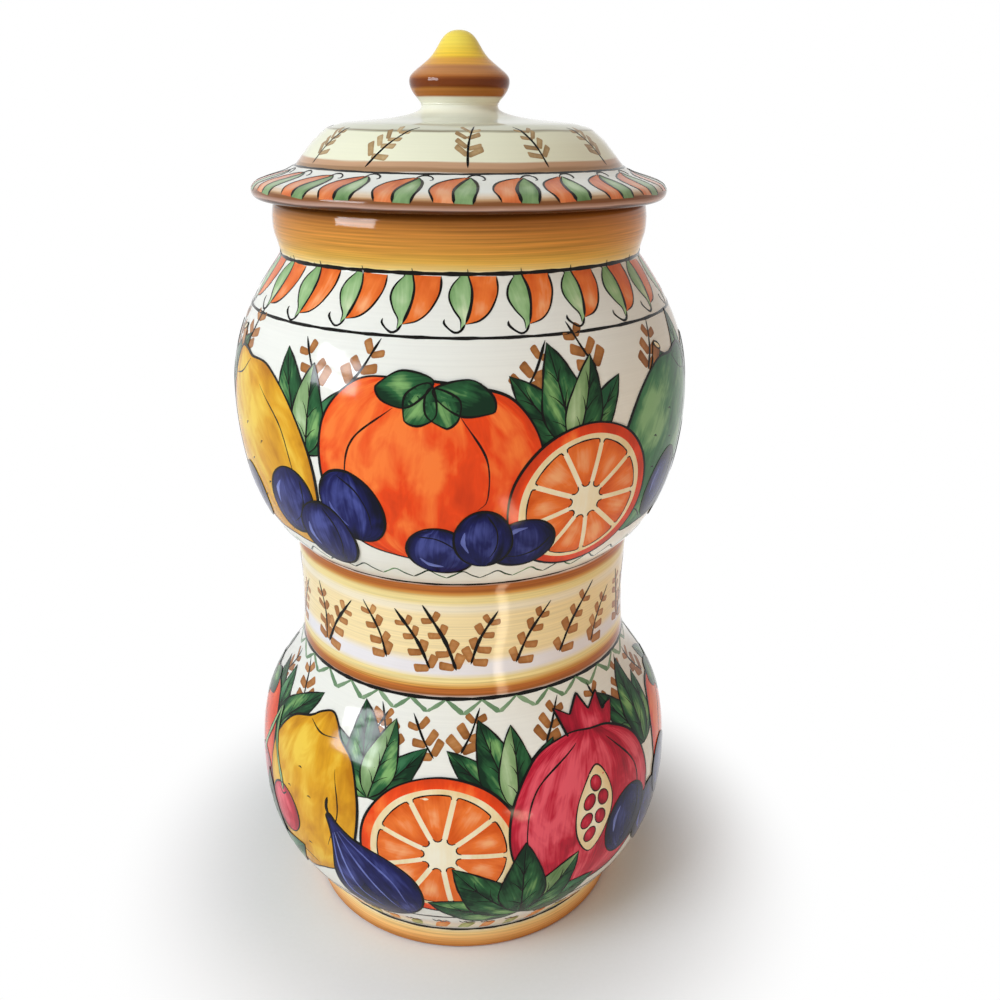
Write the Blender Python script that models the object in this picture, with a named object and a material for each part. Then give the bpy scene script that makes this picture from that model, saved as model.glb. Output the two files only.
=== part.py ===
"""Biscotti jar: a glazed ceramic jar with two bellies, a collar, a rolled rim and a domed lid.

Metres, +Z up. The origin is the centre of the foot, on the surface that the jar stands on.
Every piece is turned: its outline is drawn in (radius, height) and spun round the Z axis.
"""

import math

import bmesh
import bpy

MM = 0.001

# How finely round pieces are turned
TURN_STEPS = 56
KNOB_TURN_STEPS = 36

# Fits
CONTACT_GAP = 0.3 * MM
SPIGOT_CLEARANCE = 2.0 * MM

# Foot
FOOT_RADIUS = 63.6 * MM
FOOT_HEIGHT = 9.8 * MM
FOOT_RING_WIDTH = 10.0 * MM
FOOT_RECESS = 4.0 * MM
FOOT_EDGE_ROUND = 1.4 * MM
FLOOR_THICKNESS = 5.6 * MM

# Lower belly, from the top of the foot to its widest place and up to the collar
LOWER_BELLY_RADIUS = 83.0 * MM
LOWER_BELLY_RISE = 50.2 * MM
LOWER_SHOULDER_RISE = 53.3 * MM

# Collar between the bellies, a little hollow halfway up
COLLAR_RADIUS = 64.0 * MM
COLLAR_HEIGHT = 44.5 * MM
COLLAR_HOLLOW = 1.0 * MM

# Upper belly, from the collar to its widest place and up to the neck
UPPER_BELLY_RADIUS = 81.8 * MM
UPPER_BELLY_RISE = 53.2 * MM
UPPER_SHOULDER_RISE = 48.3 * MM

# Neck and rolled rim
NECK_RADIUS = 62.8 * MM
RIM_HEIGHT = 17.7 * MM
RIM_SWELL = 2.1 * MM
RIM_EDGE_ROUND = 1.6 * MM
WALL_THICKNESS = 5.0 * MM
NECK_WALL = 6.6 * MM

# Lid, outside: lip, brim, dome and the neck that carries the knob
LIP_OVERHANG = 8.4 * MM
LIP_HEIGHT = 3.0 * MM
BRIM_WIDTH = 15.2 * MM
BRIM_RISE = 8.0 * MM
DOME_TAPER = 11.1 * MM
DOME_RISE = 11.5 * MM
DOME_TOP_RISE = 3.6 * MM
FLARE_RADIUS = 21.0 * MM
FLARE_RISE = 3.9 * MM
KNOB_NECK_RADIUS = 12.8 * MM

# Lid, inside: the wall, and the spigot with its groove for the seal
LID_WALL = 4.7 * MM
SPIGOT_WALL = 4.7 * MM
SPIGOT_SHOULDER = 3.0 * MM
SPIGOT_TOE = 3.5 * MM
GROOVE_DEPTH = 1.5 * MM

# Seal
SEAL_HEIGHT = 6.0 * MM
SEAL_FIN_THICKNESS = 0.7 * MM
SEAL_FINS = 2

# Knob
KNOB_RADIUS = 16.9 * MM
KNOB_BELLY_RISE = 6.9 * MM
KNOB_SHOULDER_RADIUS = 9.8 * MM
KNOB_SHOULDER_RISE = 7.3 * MM
KNOB_TIP_RISE = 8.5 * MM
PEG_RADIUS = 6.0 * MM
PEG_LENGTH = 4.5 * MM

# Heights that follow from the sizes above, measured from the foot
LOWER_BELLY_Z = FOOT_HEIGHT + LOWER_BELLY_RISE
COLLAR_FOOT_Z = LOWER_BELLY_Z + LOWER_SHOULDER_RISE
COLLAR_TOP_Z = COLLAR_FOOT_Z + COLLAR_HEIGHT
UPPER_BELLY_Z = COLLAR_TOP_Z + UPPER_BELLY_RISE
NECK_Z = UPPER_BELLY_Z + UPPER_SHOULDER_RISE
RIM_Z = NECK_Z + RIM_HEIGHT

# Radii that follow
MOUTH_RADIUS = NECK_RADIUS - NECK_WALL
RIM_RADIUS = NECK_RADIUS + RIM_SWELL
LIP_RADIUS = NECK_RADIUS + LIP_OVERHANG
DOME_RADIUS = LIP_RADIUS - BRIM_WIDTH
SHOULDER_RADIUS = DOME_RADIUS - DOME_TAPER
SPIGOT_RADIUS = MOUTH_RADIUS - SPIGOT_CLEARANCE
SPIGOT_BORE = SPIGOT_RADIUS - SPIGOT_WALL
GROOVE_RADIUS = SPIGOT_RADIUS - GROOVE_DEPTH

# Heights on the lid, measured from the top of the rim
BRIM_TOP = LIP_HEIGHT + BRIM_RISE
DOME_SHOULDER = BRIM_TOP + DOME_RISE
DOME_TOP = DOME_SHOULDER + DOME_TOP_RISE
KNOB_SEAT = DOME_TOP + FLARE_RISE
GROOVE_TOP = -SPIGOT_SHOULDER
GROOVE_FOOT = GROOVE_TOP - SEAL_HEIGHT
SPIGOT_FOOT = GROOVE_FOOT - SPIGOT_TOE

# Paint and glaze of each piece: colour, roughness, metallic
FINISHES = {
    "cream_glaze": ((0.83, 0.80, 0.70), 0.12, 0.0),
    "sage_glaze": ((0.76, 0.74, 0.55), 0.12, 0.0),
    "amber_glaze": ((0.55, 0.27, 0.07), 0.12, 0.0),
    "clear_silicone": ((0.72, 0.72, 0.70), 0.45, 0.0),
}


def curve(start, end, leave, arrive, steps):
    """A smooth stretch of outline between two (radius, height) points, without the first point.

    leave and arrive are the handles, as shares of the stretch's own width and height, so a
    stretch keeps its character when one of its sizes changes.
    """
    width = end[0] - start[0]
    height = end[1] - start[1]
    first = (start[0] + leave[0] * width, start[1] + leave[1] * height)
    second = (end[0] - arrive[0] * width, end[1] - arrive[1] * height)
    points = []
    for step in range(1, steps + 1):
        t = step / steps
        shares = ((1 - t) ** 3, 3 * (1 - t) ** 2 * t, 3 * (1 - t) * t ** 2, t ** 3)
        corners = (start, first, second, end)
        radius = sum(share * corner[0] for share, corner in zip(shares, corners))
        height_here = sum(share * corner[1] for share, corner in zip(shares, corners))
        points.append((radius, height_here))
    return points


def quarter_round(centre, size, from_angle, to_angle, steps):
    """Points on a quarter circle, for a rounded edge; angles in degrees from +radius."""
    points = []
    for step in range(steps + 1):
        angle = math.radians(from_angle + (to_angle - from_angle) * step / steps)
        points.append((centre[0] + size * math.cos(angle), centre[1] + size * math.sin(angle)))
    return points


def belly_wall(inset, foot, steps):
    """The wall from the neck down to the foot, drawn inset from the outer surface."""
    neck = (NECK_RADIUS - inset, NECK_Z)
    upper_belly = (UPPER_BELLY_RADIUS - inset, UPPER_BELLY_Z)
    collar_top = (COLLAR_RADIUS - inset, COLLAR_TOP_Z)
    collar_middle = (COLLAR_RADIUS - COLLAR_HOLLOW - inset, (COLLAR_TOP_Z + COLLAR_FOOT_Z) / 2)
    collar_foot = (COLLAR_RADIUS - inset, COLLAR_FOOT_Z)
    lower_belly = (LOWER_BELLY_RADIUS - inset, LOWER_BELLY_Z)
    return (
        [neck]
        + curve(neck, upper_belly, (0.58, 0.31), (0.0, 0.45), steps)
        + curve(upper_belly, collar_top, (0.0, 0.62), (0.42, 0.10), steps)
        + [collar_middle, collar_foot]
        + curve(collar_foot, lower_belly, (0.27, 0.37), (0.0, 0.68), steps)
        + curve(lower_belly, foot, (0.0, 0.46), (0.70, 0.34), steps)
    )


def jar_body_outline():
    """From the middle of the floor inside, up the inner wall, over the rim, down to the foot."""
    floor_z = FOOT_RECESS + FLOOR_THICKNESS
    inner_foot = (FOOT_RADIUS - WALL_THICKNESS, floor_z)
    inner = belly_wall(WALL_THICKNESS, inner_foot, steps=5)
    inner.reverse()
    rim_middle = (MOUTH_RADIUS + RIM_RADIUS) / 2
    rim_swell_z = NECK_Z + 0.6 * RIM_HEIGHT
    inner_edge = (MOUTH_RADIUS + RIM_EDGE_ROUND, RIM_Z - RIM_EDGE_ROUND)
    outer_edge = (RIM_RADIUS - 1.4 * RIM_EDGE_ROUND, RIM_Z)
    swell = (RIM_RADIUS, rim_swell_z)
    outer_foot = (FOOT_RADIUS, FOOT_HEIGHT)
    foot_edge = (FOOT_RADIUS - FOOT_EDGE_ROUND, FOOT_EDGE_ROUND)
    ring_bore = FOOT_RADIUS - FOOT_RING_WIDTH
    return (
        [(0.0, floor_z)]
        + inner[:-1]
        + [(MOUTH_RADIUS, NECK_Z)]
        + quarter_round(inner_edge, RIM_EDGE_ROUND, 180, 90, 2)
        + [(rim_middle, RIM_Z), outer_edge]
        + curve(outer_edge, swell, (0.75, 0.0), (0.0, 0.55), 3)
        + curve(swell, (NECK_RADIUS, NECK_Z), (0.0, 0.45), (0.55, 0.60), 3)
        + belly_wall(0.0, outer_foot, steps=7)[1:]
        + quarter_round(foot_edge, FOOT_EDGE_ROUND, 0, -90, 2)
        + [(ring_bore, 0.0), (ring_bore - 0.5 * FOOT_RECESS, FOOT_RECESS), (0.0, FOOT_RECESS)]
    )


def lid_outline():
    """From the knob's socket, out over dome, brim and lip, under to the spigot and its bore."""
    socket_foot = KNOB_SEAT - PEG_LENGTH - CONTACT_GAP
    socket_radius = PEG_RADIUS + CONTACT_GAP
    flare = (FLARE_RADIUS, DOME_TOP)
    knob_neck = (KNOB_NECK_RADIUS, KNOB_SEAT)
    shoulder = (SHOULDER_RADIUS, DOME_SHOULDER)
    brim_line = (DOME_RADIUS, BRIM_TOP)
    lip = (LIP_RADIUS, LIP_HEIGHT)
    lip_foot = (LIP_RADIUS - LIP_HEIGHT + CONTACT_GAP, CONTACT_GAP)
    inner_shoulder = (SHOULDER_RADIUS - LID_WALL, DOME_SHOULDER - LID_WALL)
    bore_top = (SPIGOT_BORE, BRIM_TOP - LID_WALL)
    return (
        [(0.0, socket_foot), (socket_radius, socket_foot), (socket_radius, KNOB_SEAT), knob_neck]
        + curve(knob_neck, flare, (0.0, 0.55), (0.60, 0.25), 4)
        + curve(flare, shoulder, (0.60, 0.60), (0.27, 0.75), 4)
        + curve(shoulder, brim_line, (0.24, 0.11), (0.17, 0.21), 3)
        + curve(brim_line, lip, (0.32, 0.48), (0.0, 0.56), 5)
        + curve(lip, lip_foot, (0.0, 0.55), (0.55, 0.0), 3)
        + [(SPIGOT_RADIUS, CONTACT_GAP), (SPIGOT_RADIUS, GROOVE_TOP), (GROOVE_RADIUS, GROOVE_TOP)]
        + [(GROOVE_RADIUS, GROOVE_FOOT), (SPIGOT_RADIUS, GROOVE_FOOT), (SPIGOT_RADIUS, SPIGOT_FOOT)]
        + [(SPIGOT_BORE, SPIGOT_FOOT), bore_top]
        + curve(bore_top, inner_shoulder, (0.17, 0.35), (0.50, 0.10), 4)
        + [(FLARE_RADIUS, DOME_TOP - LID_WALL), (0.0, DOME_TOP - LID_WALL)]
    )


def knob_outline():
    """From the tip down the pointed knob to its neck, then round the peg in the lid's socket."""
    seat = KNOB_SEAT + CONTACT_GAP
    tip = (0.0, seat + KNOB_BELLY_RISE + KNOB_SHOULDER_RISE + KNOB_TIP_RISE)
    shoulder = (KNOB_SHOULDER_RADIUS, tip[1] - KNOB_TIP_RISE)
    belly = (KNOB_RADIUS, seat + KNOB_BELLY_RISE)
    neck = (KNOB_NECK_RADIUS, seat)
    peg_foot = KNOB_SEAT - PEG_LENGTH
    return (
        [tip]
        + curve(tip, shoulder, (0.64, 0.0), (0.37, 0.41), 5)
        + curve(shoulder, belly, (0.76, 0.62), (0.0, 0.33), 5)
        + curve(belly, neck, (0.0, 0.45), (0.35, 0.22), 4)
        + [(PEG_RADIUS, seat), (PEG_RADIUS, peg_foot), (0.0, peg_foot)]
    )


def seal_outline():
    """A closed ring section: fins towards the mouth, and a flat back in the spigot's groove."""
    back = GROOVE_RADIUS + CONTACT_GAP
    face = SPIGOT_RADIUS
    fin_tip = MOUTH_RADIUS - CONTACT_GAP
    top = GROOVE_TOP - CONTACT_GAP
    foot = GROOVE_FOOT + CONTACT_GAP
    pitch = (top - foot) / SEAL_FINS
    outline = [(face, top)]
    for fin in range(SEAL_FINS):
        centre = top - pitch * (fin + 0.5)
        outline += [
            (face, centre + 0.35 * pitch),
            (fin_tip, centre + SEAL_FIN_THICKNESS / 2),
            (fin_tip, centre - SEAL_FIN_THICKNESS / 2),
            (face, centre - 0.35 * pitch),
        ]
    return outline + [(face, foot), (back, foot), (back, top)]


def make_finish(name):
    """A glaze or rubber as a Principled material."""
    colour, roughness, metallic = FINISHES[name]
    material = bpy.data.materials.new(name)
    material.use_nodes = True
    shader = material.node_tree.nodes["Principled BSDF"]
    shader.inputs["Base Color"].default_value = (*colour, 1.0)
    shader.inputs["Roughness"].default_value = roughness
    shader.inputs["Metallic"].default_value = metallic
    return material


def turn(name, outline, finish, steps, closed_section=False, parent=None):
    """Spins an outline round the Z axis into one closed, smooth-shaded piece."""
    mesh_builder = bmesh.new()
    corners = [mesh_builder.verts.new((radius, 0.0, height)) for radius, height in outline]
    edges = [mesh_builder.edges.new(pair) for pair in zip(corners, corners[1:])]
    if closed_section:
        edges.append(mesh_builder.edges.new((corners[-1], corners[0])))
    bmesh.ops.spin(
        mesh_builder,
        geom=corners + edges,
        cent=(0.0, 0.0, 0.0),
        axis=(0.0, 0.0, 1.0),
        angle=2 * math.pi,
        steps=steps,
        use_merge=True,
    )
    bmesh.ops.remove_doubles(mesh_builder, verts=mesh_builder.verts[:], dist=0.001 * MM)
    bmesh.ops.recalc_face_normals(mesh_builder, faces=mesh_builder.faces[:])
    mesh = bpy.data.meshes.new(name)
    mesh_builder.to_mesh(mesh)
    mesh_builder.free()
    mesh.materials.append(make_finish(finish))
    mesh.shade_smooth()
    mesh.set_sharp_from_angle(angle=math.radians(38))
    piece = bpy.data.objects.new(name, mesh)
    bpy.context.collection.objects.link(piece)
    piece.parent = parent
    return piece


def main():
    for existing in list(bpy.data.objects):
        bpy.data.objects.remove(existing, do_unlink=True)
    turn("jar_body", jar_body_outline(), "cream_glaze", TURN_STEPS)

    # The lid's pieces hang on an empty on the lift axis, at the top of the rim
    lift_axis = bpy.data.objects.new("lid_lift_axis", None)
    lift_axis.location = (0.0, 0.0, RIM_Z)
    bpy.context.collection.objects.link(lift_axis)
    turn("lid", lid_outline(), "sage_glaze", TURN_STEPS, parent=lift_axis)
    turn("lid_knob", knob_outline(), "amber_glaze", KNOB_TURN_STEPS, parent=lift_axis)
    turn("lid_seal", seal_outline(), "clear_silicone", TURN_STEPS, closed_section=True, parent=lift_axis)


main()
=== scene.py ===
"""Biscotti jar: the looks of a hand-painted, glazed earthenware jar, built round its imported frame.

The ware is turned from the frame's own outlines. The painting is laid on it as thin shells of
enamel, drawn flat in millimetres and then wrapped round the outline by geometry nodes.
"""

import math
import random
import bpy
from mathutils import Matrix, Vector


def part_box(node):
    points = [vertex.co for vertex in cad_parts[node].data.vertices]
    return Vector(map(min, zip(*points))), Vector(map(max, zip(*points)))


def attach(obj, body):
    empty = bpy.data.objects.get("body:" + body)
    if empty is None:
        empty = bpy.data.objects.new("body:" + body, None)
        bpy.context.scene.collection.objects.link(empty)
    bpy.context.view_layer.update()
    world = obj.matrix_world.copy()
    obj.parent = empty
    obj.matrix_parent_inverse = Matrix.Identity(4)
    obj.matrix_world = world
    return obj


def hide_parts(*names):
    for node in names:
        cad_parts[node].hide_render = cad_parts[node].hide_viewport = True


bl_info = {
    "name": "Painted biscotti jar",
    "version": (1, 0, 0),
    "blender": (4, 5, 0),
    "location": "View3D > Sidebar > Jar",
    "description": "Dresses the packed biscotti jar with its glaze, its painting and a studio",
    "category": "Object",
}

import bmesh
import bpy
import numpy as np
from bpy.props import FloatProperty, FloatVectorProperty, IntProperty, PointerProperty
from mathutils import Matrix, Vector
from mathutils.geometry import delaunay_2d_cdt

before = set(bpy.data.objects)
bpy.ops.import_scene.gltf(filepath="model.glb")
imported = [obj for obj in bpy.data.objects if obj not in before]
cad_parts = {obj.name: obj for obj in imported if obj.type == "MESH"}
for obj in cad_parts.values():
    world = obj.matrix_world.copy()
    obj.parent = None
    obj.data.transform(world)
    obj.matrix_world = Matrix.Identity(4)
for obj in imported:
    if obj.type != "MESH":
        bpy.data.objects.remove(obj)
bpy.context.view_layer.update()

MM = 0.001
TURN = 2 * math.pi
FRONT = -math.pi / 2

# Heights and radii of the frame that glaze and painting keep to, in metres
RIM_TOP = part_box("jar_body")[1].z
LIP_FOOT = RIM_TOP + 0.3 * MM
OVER_FLOOR = 30 * MM
MOUTH = 56 * MM
LID_NECK = 12.7 * MM

# Points of an outline, and of turned ware, that lie closer than this are one
SEAM_TOLERANCE = 0.002 * MM
WELD = 0.005 * MM

# A border repeats this many hand-drawn kinds of its motif
KINDS = 4


def linear(colour):
    """A linear RGB colour from sRGB hex. A colour that is linear already stays as it is."""
    if not isinstance(colour, str):
        return tuple(colour)
    channels = [int(colour[at:at + 2], 16) / 255 for at in (1, 3, 5)]
    return tuple(c / 12.92 if c <= 0.04045 else ((c + 0.055) / 1.055) ** 2.4 for c in channels)


def shade(colour, factor, lift=0.0):
    """A colour made darker or lighter, with lift added towards white."""
    return tuple(min(1.0, c * factor + lift) for c in linear(colour))


def tint(name, text, hex_value):
    """A colour that the user may change."""
    return FloatVectorProperty(
        name=name, description=text, default=linear(hex_value), subtype="COLOR", min=0, max=1
    )


def length(name, text, metres):
    """A length that the user may change."""
    return FloatProperty(name=name, description=text, default=metres, unit="LENGTH", precision=5)


def tally(name, text, count):
    """A number of things that the user may change."""
    return IntProperty(name=name, description=text, default=count)


def slant(name, text, radians):
    """An angle that the user may change."""
    return FloatProperty(name=name, description=text, default=radians, subtype="ANGLE")


def measure(name, text, value):
    """A power, strength or other plain value that the user may change."""
    return FloatProperty(name=name, description=text, default=value)


class JarWareSettings(bpy.types.PropertyGroup):
    """Sizes and colours of the turned ware and its glaze."""

    segments: tally("Segments", "Steps round the ware", 180)
    outline_step: length("Outline step", "Length of a step along the outline", 2.0 * MM)
    crease_round: length("Crease round", "How far the glaze softens a crease", 0.8 * MM)
    ground: tint("Ground", "White tin glaze under the painting", "#F1F0E6")
    dome: tint("Dome", "Pale sage glaze of the dome", "#F2F0D2")
    brown: tint("Brown", "Brushed brown oxide of the bands", "#B6682C")
    ochre: tint("Ochre", "Brushed ochre of the rim", "#D4943C")
    straw: tint("Straw", "Pale yellow of the bands", "#F2DD9A")


class JarPaintSettings(bpy.types.PropertyGroup):
    """Sizes, counts and colours of the painting."""

    paint_lift: length("Paint lift", "How proud the first coat of paint lies", 0.04 * MM)
    coat_step: length("Coat step", "How much higher each further coat lies", 0.05 * MM)
    detail_step: length("Detail step", "How much a detail lies over its own coat", 0.008 * MM)
    brim_pairs: tally("Brim pairs", "Leaf pairs on the brim", 24)
    shoulder_pairs: tally("Shoulder pairs", "Pairs under the neck", 24)
    dome_repeats: tally("Dome repeats", "Six sprigs each, round the dome", 2)
    collar_repeats: tally("Collar repeats", "Nine sprigs each, round the collar", 3)
    zigzag_teeth: tally("Zigzag teeth", "Teeth under the collar", 32)
    small_teeth: tally("Small teeth", "Teeth over the collar", 40)
    foot_marks: tally("Foot marks", "Dabs over the foot, green and orange by turns", 48)
    ink: tint("Ink", "Manganese black of the outlines", "#12100C")
    orange: tint("Orange", "Orange enamel", "#F04A16")
    yellow: tint("Yellow", "Antimony yellow enamel", "#E2A41E")
    crimson: tint("Crimson", "Crimson enamel", "#C8203A")
    indigo: tint("Indigo", "Cobalt enamel", "#191C58")
    leaf: tint("Leaf", "Copper green enamel", "#2E653A")
    sage: tint("Sage", "Light green enamel", "#9EC288")
    wheat: tint("Wheat", "Brown oxide of the sprigs", "#B87C46")


class JarStudioSettings(bpy.types.PropertyGroup):
    """Camera and light."""

    camera_distance: length("Camera distance", "From the jar's axis, level", 0.3651)
    camera_height: length("Camera height", "Over the surface that the jar stands on", 0.3052)
    lens: measure("Lens", "Focal length on 36 mm film, in mm", 36.04)
    pitch: slant("Pitch", "Down", 0.3711)
    yaw: slant("Yaw", "To the right", 0.0399)
    roll: slant("Roll", "Clockwise", 0.0067)
    day: measure("Daylight", "Power of the soft daylight, in watts", 7.4)
    window: measure("Window", "Power of a mirrored pane, in watts", 3.8)
    glint: measure("Glint", "Power of the sunlit patch, in watts", 0.22)
    warm: measure("Warm wall", "Power in watts", 1.3)
    overhead: measure("Overhead", "Power in watts", 2.2)
    bounce: measure("Table bounce", "Power in watts", 0.5)
    room: measure("Room", "Strength of the room's own light", 0.24)


# Outlines, read from the frame


def outline_of(node):
    """The turned outline of a CAD node as rows of radius and height in metres, in order."""
    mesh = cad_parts[node].data
    spots = [vertex.co for vertex in mesh.vertices]
    keys = {}
    for index, spot in enumerate(spots):
        if abs(spot.y) < SEAM_TOLERANCE and spot.x > -SEAM_TOLERANCE:
            keys[index] = (round(abs(spot.x), 6), round(spot.z, 6))
    links = {}
    for edge in mesh.edges:
        ends = [keys.get(index) for index in edge.vertices]
        if None not in ends and ends[0] != ends[1]:
            links.setdefault(ends[0], set()).add(ends[1])
            links.setdefault(ends[1], set()).add(ends[0])
    loose = sorted(key for key in links if len(links[key]) == 1)
    chain = [loose[0] if loose else max(links, key=lambda key: key[1])]
    left = set(links) - set(chain)
    while left:
        ahead = sorted(links[chain[-1]] & left)
        if not ahead:
            ahead = sorted(left, key=lambda key: math.dist(key, chain[-1]))
        chain.append(ahead[0])
        left.remove(ahead[0])
    if loose and chain[0][0] > 0:
        chain.insert(0, (0.0, chain[0][1]))
    if loose and chain[-1][0] > 0:
        chain.append((0.0, chain[-1][1]))
    return np.array(chain), not loose


def direction(vector):
    """A vector of the same way and unit length."""
    return vector / max(np.linalg.norm(vector), 1e-12)


def corner_ways(outline, is_ring, crease_round):
    """The ways in and out of each point of an outline, and how much of its legs a crease takes up."""
    hard_turn, crease_turn, crease_run = math.radians(60), math.radians(16), 3.4 * MM
    # Where a leg this much longer than the next turns by more than the least turn, it runs on straight
    leg_ratio, least_turn = 2.5, math.radians(8)
    legs = np.roll(outline, -1, axis=0) - outline
    runs = [np.linalg.norm(leg) for leg in legs]
    ways = []
    for i in range(len(outline)):
        before, after, trim = direction(legs[i - 1]), direction(legs[i]), 0.0
        bend = abs(math.atan2(before[0] * after[1] - before[1] * after[0], before @ after))
        short, long = sorted((runs[i - 1], runs[i]))
        if not is_ring and i in (0, len(outline) - 1):
            before = after = after if i == 0 else before
            if outline[i][0] < SEAM_TOLERANCE:
                before = after = direction(np.array([before[0], 0.0]))
        elif bend > hard_turn or (bend > crease_turn and short > crease_run):
            trim = min(crease_round, 0.3 * short)
        elif long > leg_ratio * short and bend > least_turn:
            before = after = before if runs[i - 1] > runs[i] else after
        else:
            before = after = direction(before / runs[i - 1] + after / runs[i])
        ways.append((before, after, trim))
    return ways


def rounded(outline, is_ring, step, crease_round):
    """The faceted outline made round again, with its creases softened as glaze softens them."""
    # A leg that swings less than this is straight, and others have a step for each few degrees
    straight_swing, step_swing, least_step = math.radians(0.5), math.radians(6), 0.02 * MM
    ways = corner_ways(outline, is_ring, crease_round)
    count = len(outline)
    points = []
    for i in range(count if is_ring else count - 1):
        j = (i + 1) % count
        leave, start_trim = ways[i][1:]
        arrive, onward, end_trim = ways[j]
        start = outline[i] + leave * start_trim
        end = outline[j] - arrive * end_trim
        run = np.linalg.norm(end - start)
        swing = math.acos(min(1.0, max(-1.0, float(leave @ arrive))))
        straight = swing < straight_swing and leave @ direction(end - start) > 0.99999
        steps = 1 if straight else max(math.ceil(run / step), math.ceil(swing / step_swing))
        for k in range(steps + 1):
            t = k / steps
            points.append(
                (2 * t ** 3 - 3 * t ** 2 + 1) * start + (t ** 3 - 2 * t ** 2 + t) * run * leave
                + (3 * t ** 2 - 2 * t ** 3) * end + (t ** 3 - t ** 2) * run * arrive
            )
        if end_trim:
            beyond = outline[j] + onward * end_trim
            for t in (0.25, 0.5, 0.75):
                points.append((1 - t) ** 2 * end + 2 * t * (1 - t) * outline[j] + t ** 2 * beyond)
    kept = [points[0]]
    for point in points[1:]:
        if np.linalg.norm(point - kept[-1]) > least_step:
            kept.append(point)
    return np.array(kept)


def climbing(outline, low, high):
    """The stretch of an outline between two of its points, turned so that it climbs."""
    first, last = sorted((low, high))
    stretch = outline[first:last + 1]
    return stretch if stretch[0][1] < stretch[-1][1] else stretch[::-1]


class Profile:
    """The outer side of a piece of ware, for laying paint on: radius and height, foot to top."""

    def __init__(self, name, rows):
        self.rows = rows
        steps = np.linalg.norm(np.diff(rows, axis=0), axis=1)
        self.arcs = np.concatenate([[0.0], np.cumsum(steps)])
        curve = bpy.data.curves.new(name, "CURVE")
        curve.dimensions = "3D"
        spline = curve.splines.new("POLY")
        spline.points.add(len(rows) - 1)
        for point, (radius, height) in zip(spline.points, rows):
            point.co = (radius, 0.0, height, 1.0)
        self.curve = bpy.data.objects.new(name, curve)
        bpy.context.scene.collection.objects.link(self.curve)

    def arc_at(self, height):
        """The way along the outline to a height."""
        return float(np.interp(height, self.rows[:, 1], self.arcs))

    def radius_at(self, height):
        """The ware's radius at a height."""
        return float(np.interp(height, self.rows[:, 1], self.rows[:, 0]))


# Node trees


def plug(tree, socket, value):
    """Sets a socket, or links it to another socket or to a node's first output."""
    if isinstance(value, bpy.types.Node):
        value = value.outputs[0]
    if isinstance(value, bpy.types.NodeSocket):
        tree.links.new(value, socket)
    else:
        socket.default_value = (*value[:3], 1.0) if socket.type == "RGBA" else value


def add(tree, kind, *values, stops=(), **options):
    """Adds one node; a kind in capitals is the operation of a Math node.

    Values fill its sockets in order. Options in small letters are its settings and the others are
    sockets, with underscores for spaces, or by number as in _2. Stops are the rows of position and
    linear colour of a colour ramp.
    """
    node = tree.nodes.new("ShaderNodeMath" if kind.isupper() else kind)
    if kind.isupper():
        node.operation = kind
    for name in [name for name in options if name.islower()]:
        setattr(node, name, options.pop(name))
    for socket, value in zip(node.inputs, values):
        plug(tree, socket, value)
    for name, value in options.items():
        label = int(name[1:]) if name[1:].isdigit() else name.replace("_", " ")
        plug(tree, node.inputs[label], value)
    for _ in stops[2:]:
        node.color_ramp.elements.new(0.5)
    if stops:
        for element, (position, colour) in zip(node.color_ramp.elements, stops):
            element.position = position
            element.color = (*colour, 1.0)
    return node


def new_tree(name, **sockets):
    """A geometry tree with named inputs, and the sockets that give them."""
    tree = bpy.data.node_groups.new(name, "GeometryNodeTree")
    for key, kind in sockets.items():
        label = key.replace("_", " ")
        tree.interface.new_socket(label, in_out="INPUT", socket_type="NodeSocket" + kind)
    tree.interface.new_socket("Geometry", in_out="OUTPUT", socket_type="NodeSocketGeometry")
    return tree, add(tree, "NodeGroupInput").outputs


def close_tree(tree, geometry, material):
    """Shades the geometry smooth and ends its tree in Realize Instances and Set Material."""
    smooth = add(tree, "GeometryNodeSetShadeSmooth", Geometry=geometry)
    real = add(tree, "GeometryNodeRealizeInstances", Geometry=smooth)
    finish = add(tree, "GeometryNodeSetMaterial", Geometry=real, Material=material)
    add(tree, "NodeGroupOutput", Geometry=finish)
    return tree


def spun(tree, geometry, radius, angle, height):
    """Sets the points of a geometry by their radius, their turn round the Z axis and their height."""
    across = add(tree, "MULTIPLY", radius, add(tree, "COSINE", angle))
    ahead = add(tree, "MULTIPLY", radius, add(tree, "SINE", angle))
    place = add(tree, "ShaderNodeCombineXYZ", across, ahead, height)
    return add(tree, "GeometryNodeSetPosition", Geometry=geometry, Position=place)


def turning_tree():
    """Spins an outline mesh round the Z axis into one closed piece of ware."""
    tree, given = new_tree("turned_ware", Outline="Geometry", Segments="Int", Finish="Material")
    size = add(tree, "GeometryNodeAttributeDomainSize", component="MESH", Geometry=given["Outline"])
    points = size.outputs["Point Count"]
    across = add(tree, "ADD", given["Segments"], 1)
    grid = add(tree, "GeometryNodeMeshGrid", Vertices_X=across, Vertices_Y=points)
    index = add(tree, "GeometryNodeInputIndex")
    row = add(tree, "FLOORED_MODULO", index, points)
    column = add(tree, "FLOOR", add(tree, "DIVIDE", add(tree, "ADD", index, 0.5), points))
    sample = add(tree, "GeometryNodeSampleIndex", data_type="FLOAT_VECTOR", Geometry=given["Outline"],
                 Value=add(tree, "GeometryNodeInputPosition"), Index=row)
    spot = add(tree, "ShaderNodeSeparateXYZ", sample).outputs
    angle = add(tree, "DIVIDE", add(tree, "MULTIPLY", column, TURN), given["Segments"])
    placed = spun(tree, grid, spot["X"], angle, spot["Z"])
    welded = add(tree, "GeometryNodeMergeByDistance", Geometry=placed, Distance=WELD)
    return close_tree(tree, welded, given["Finish"])


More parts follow.
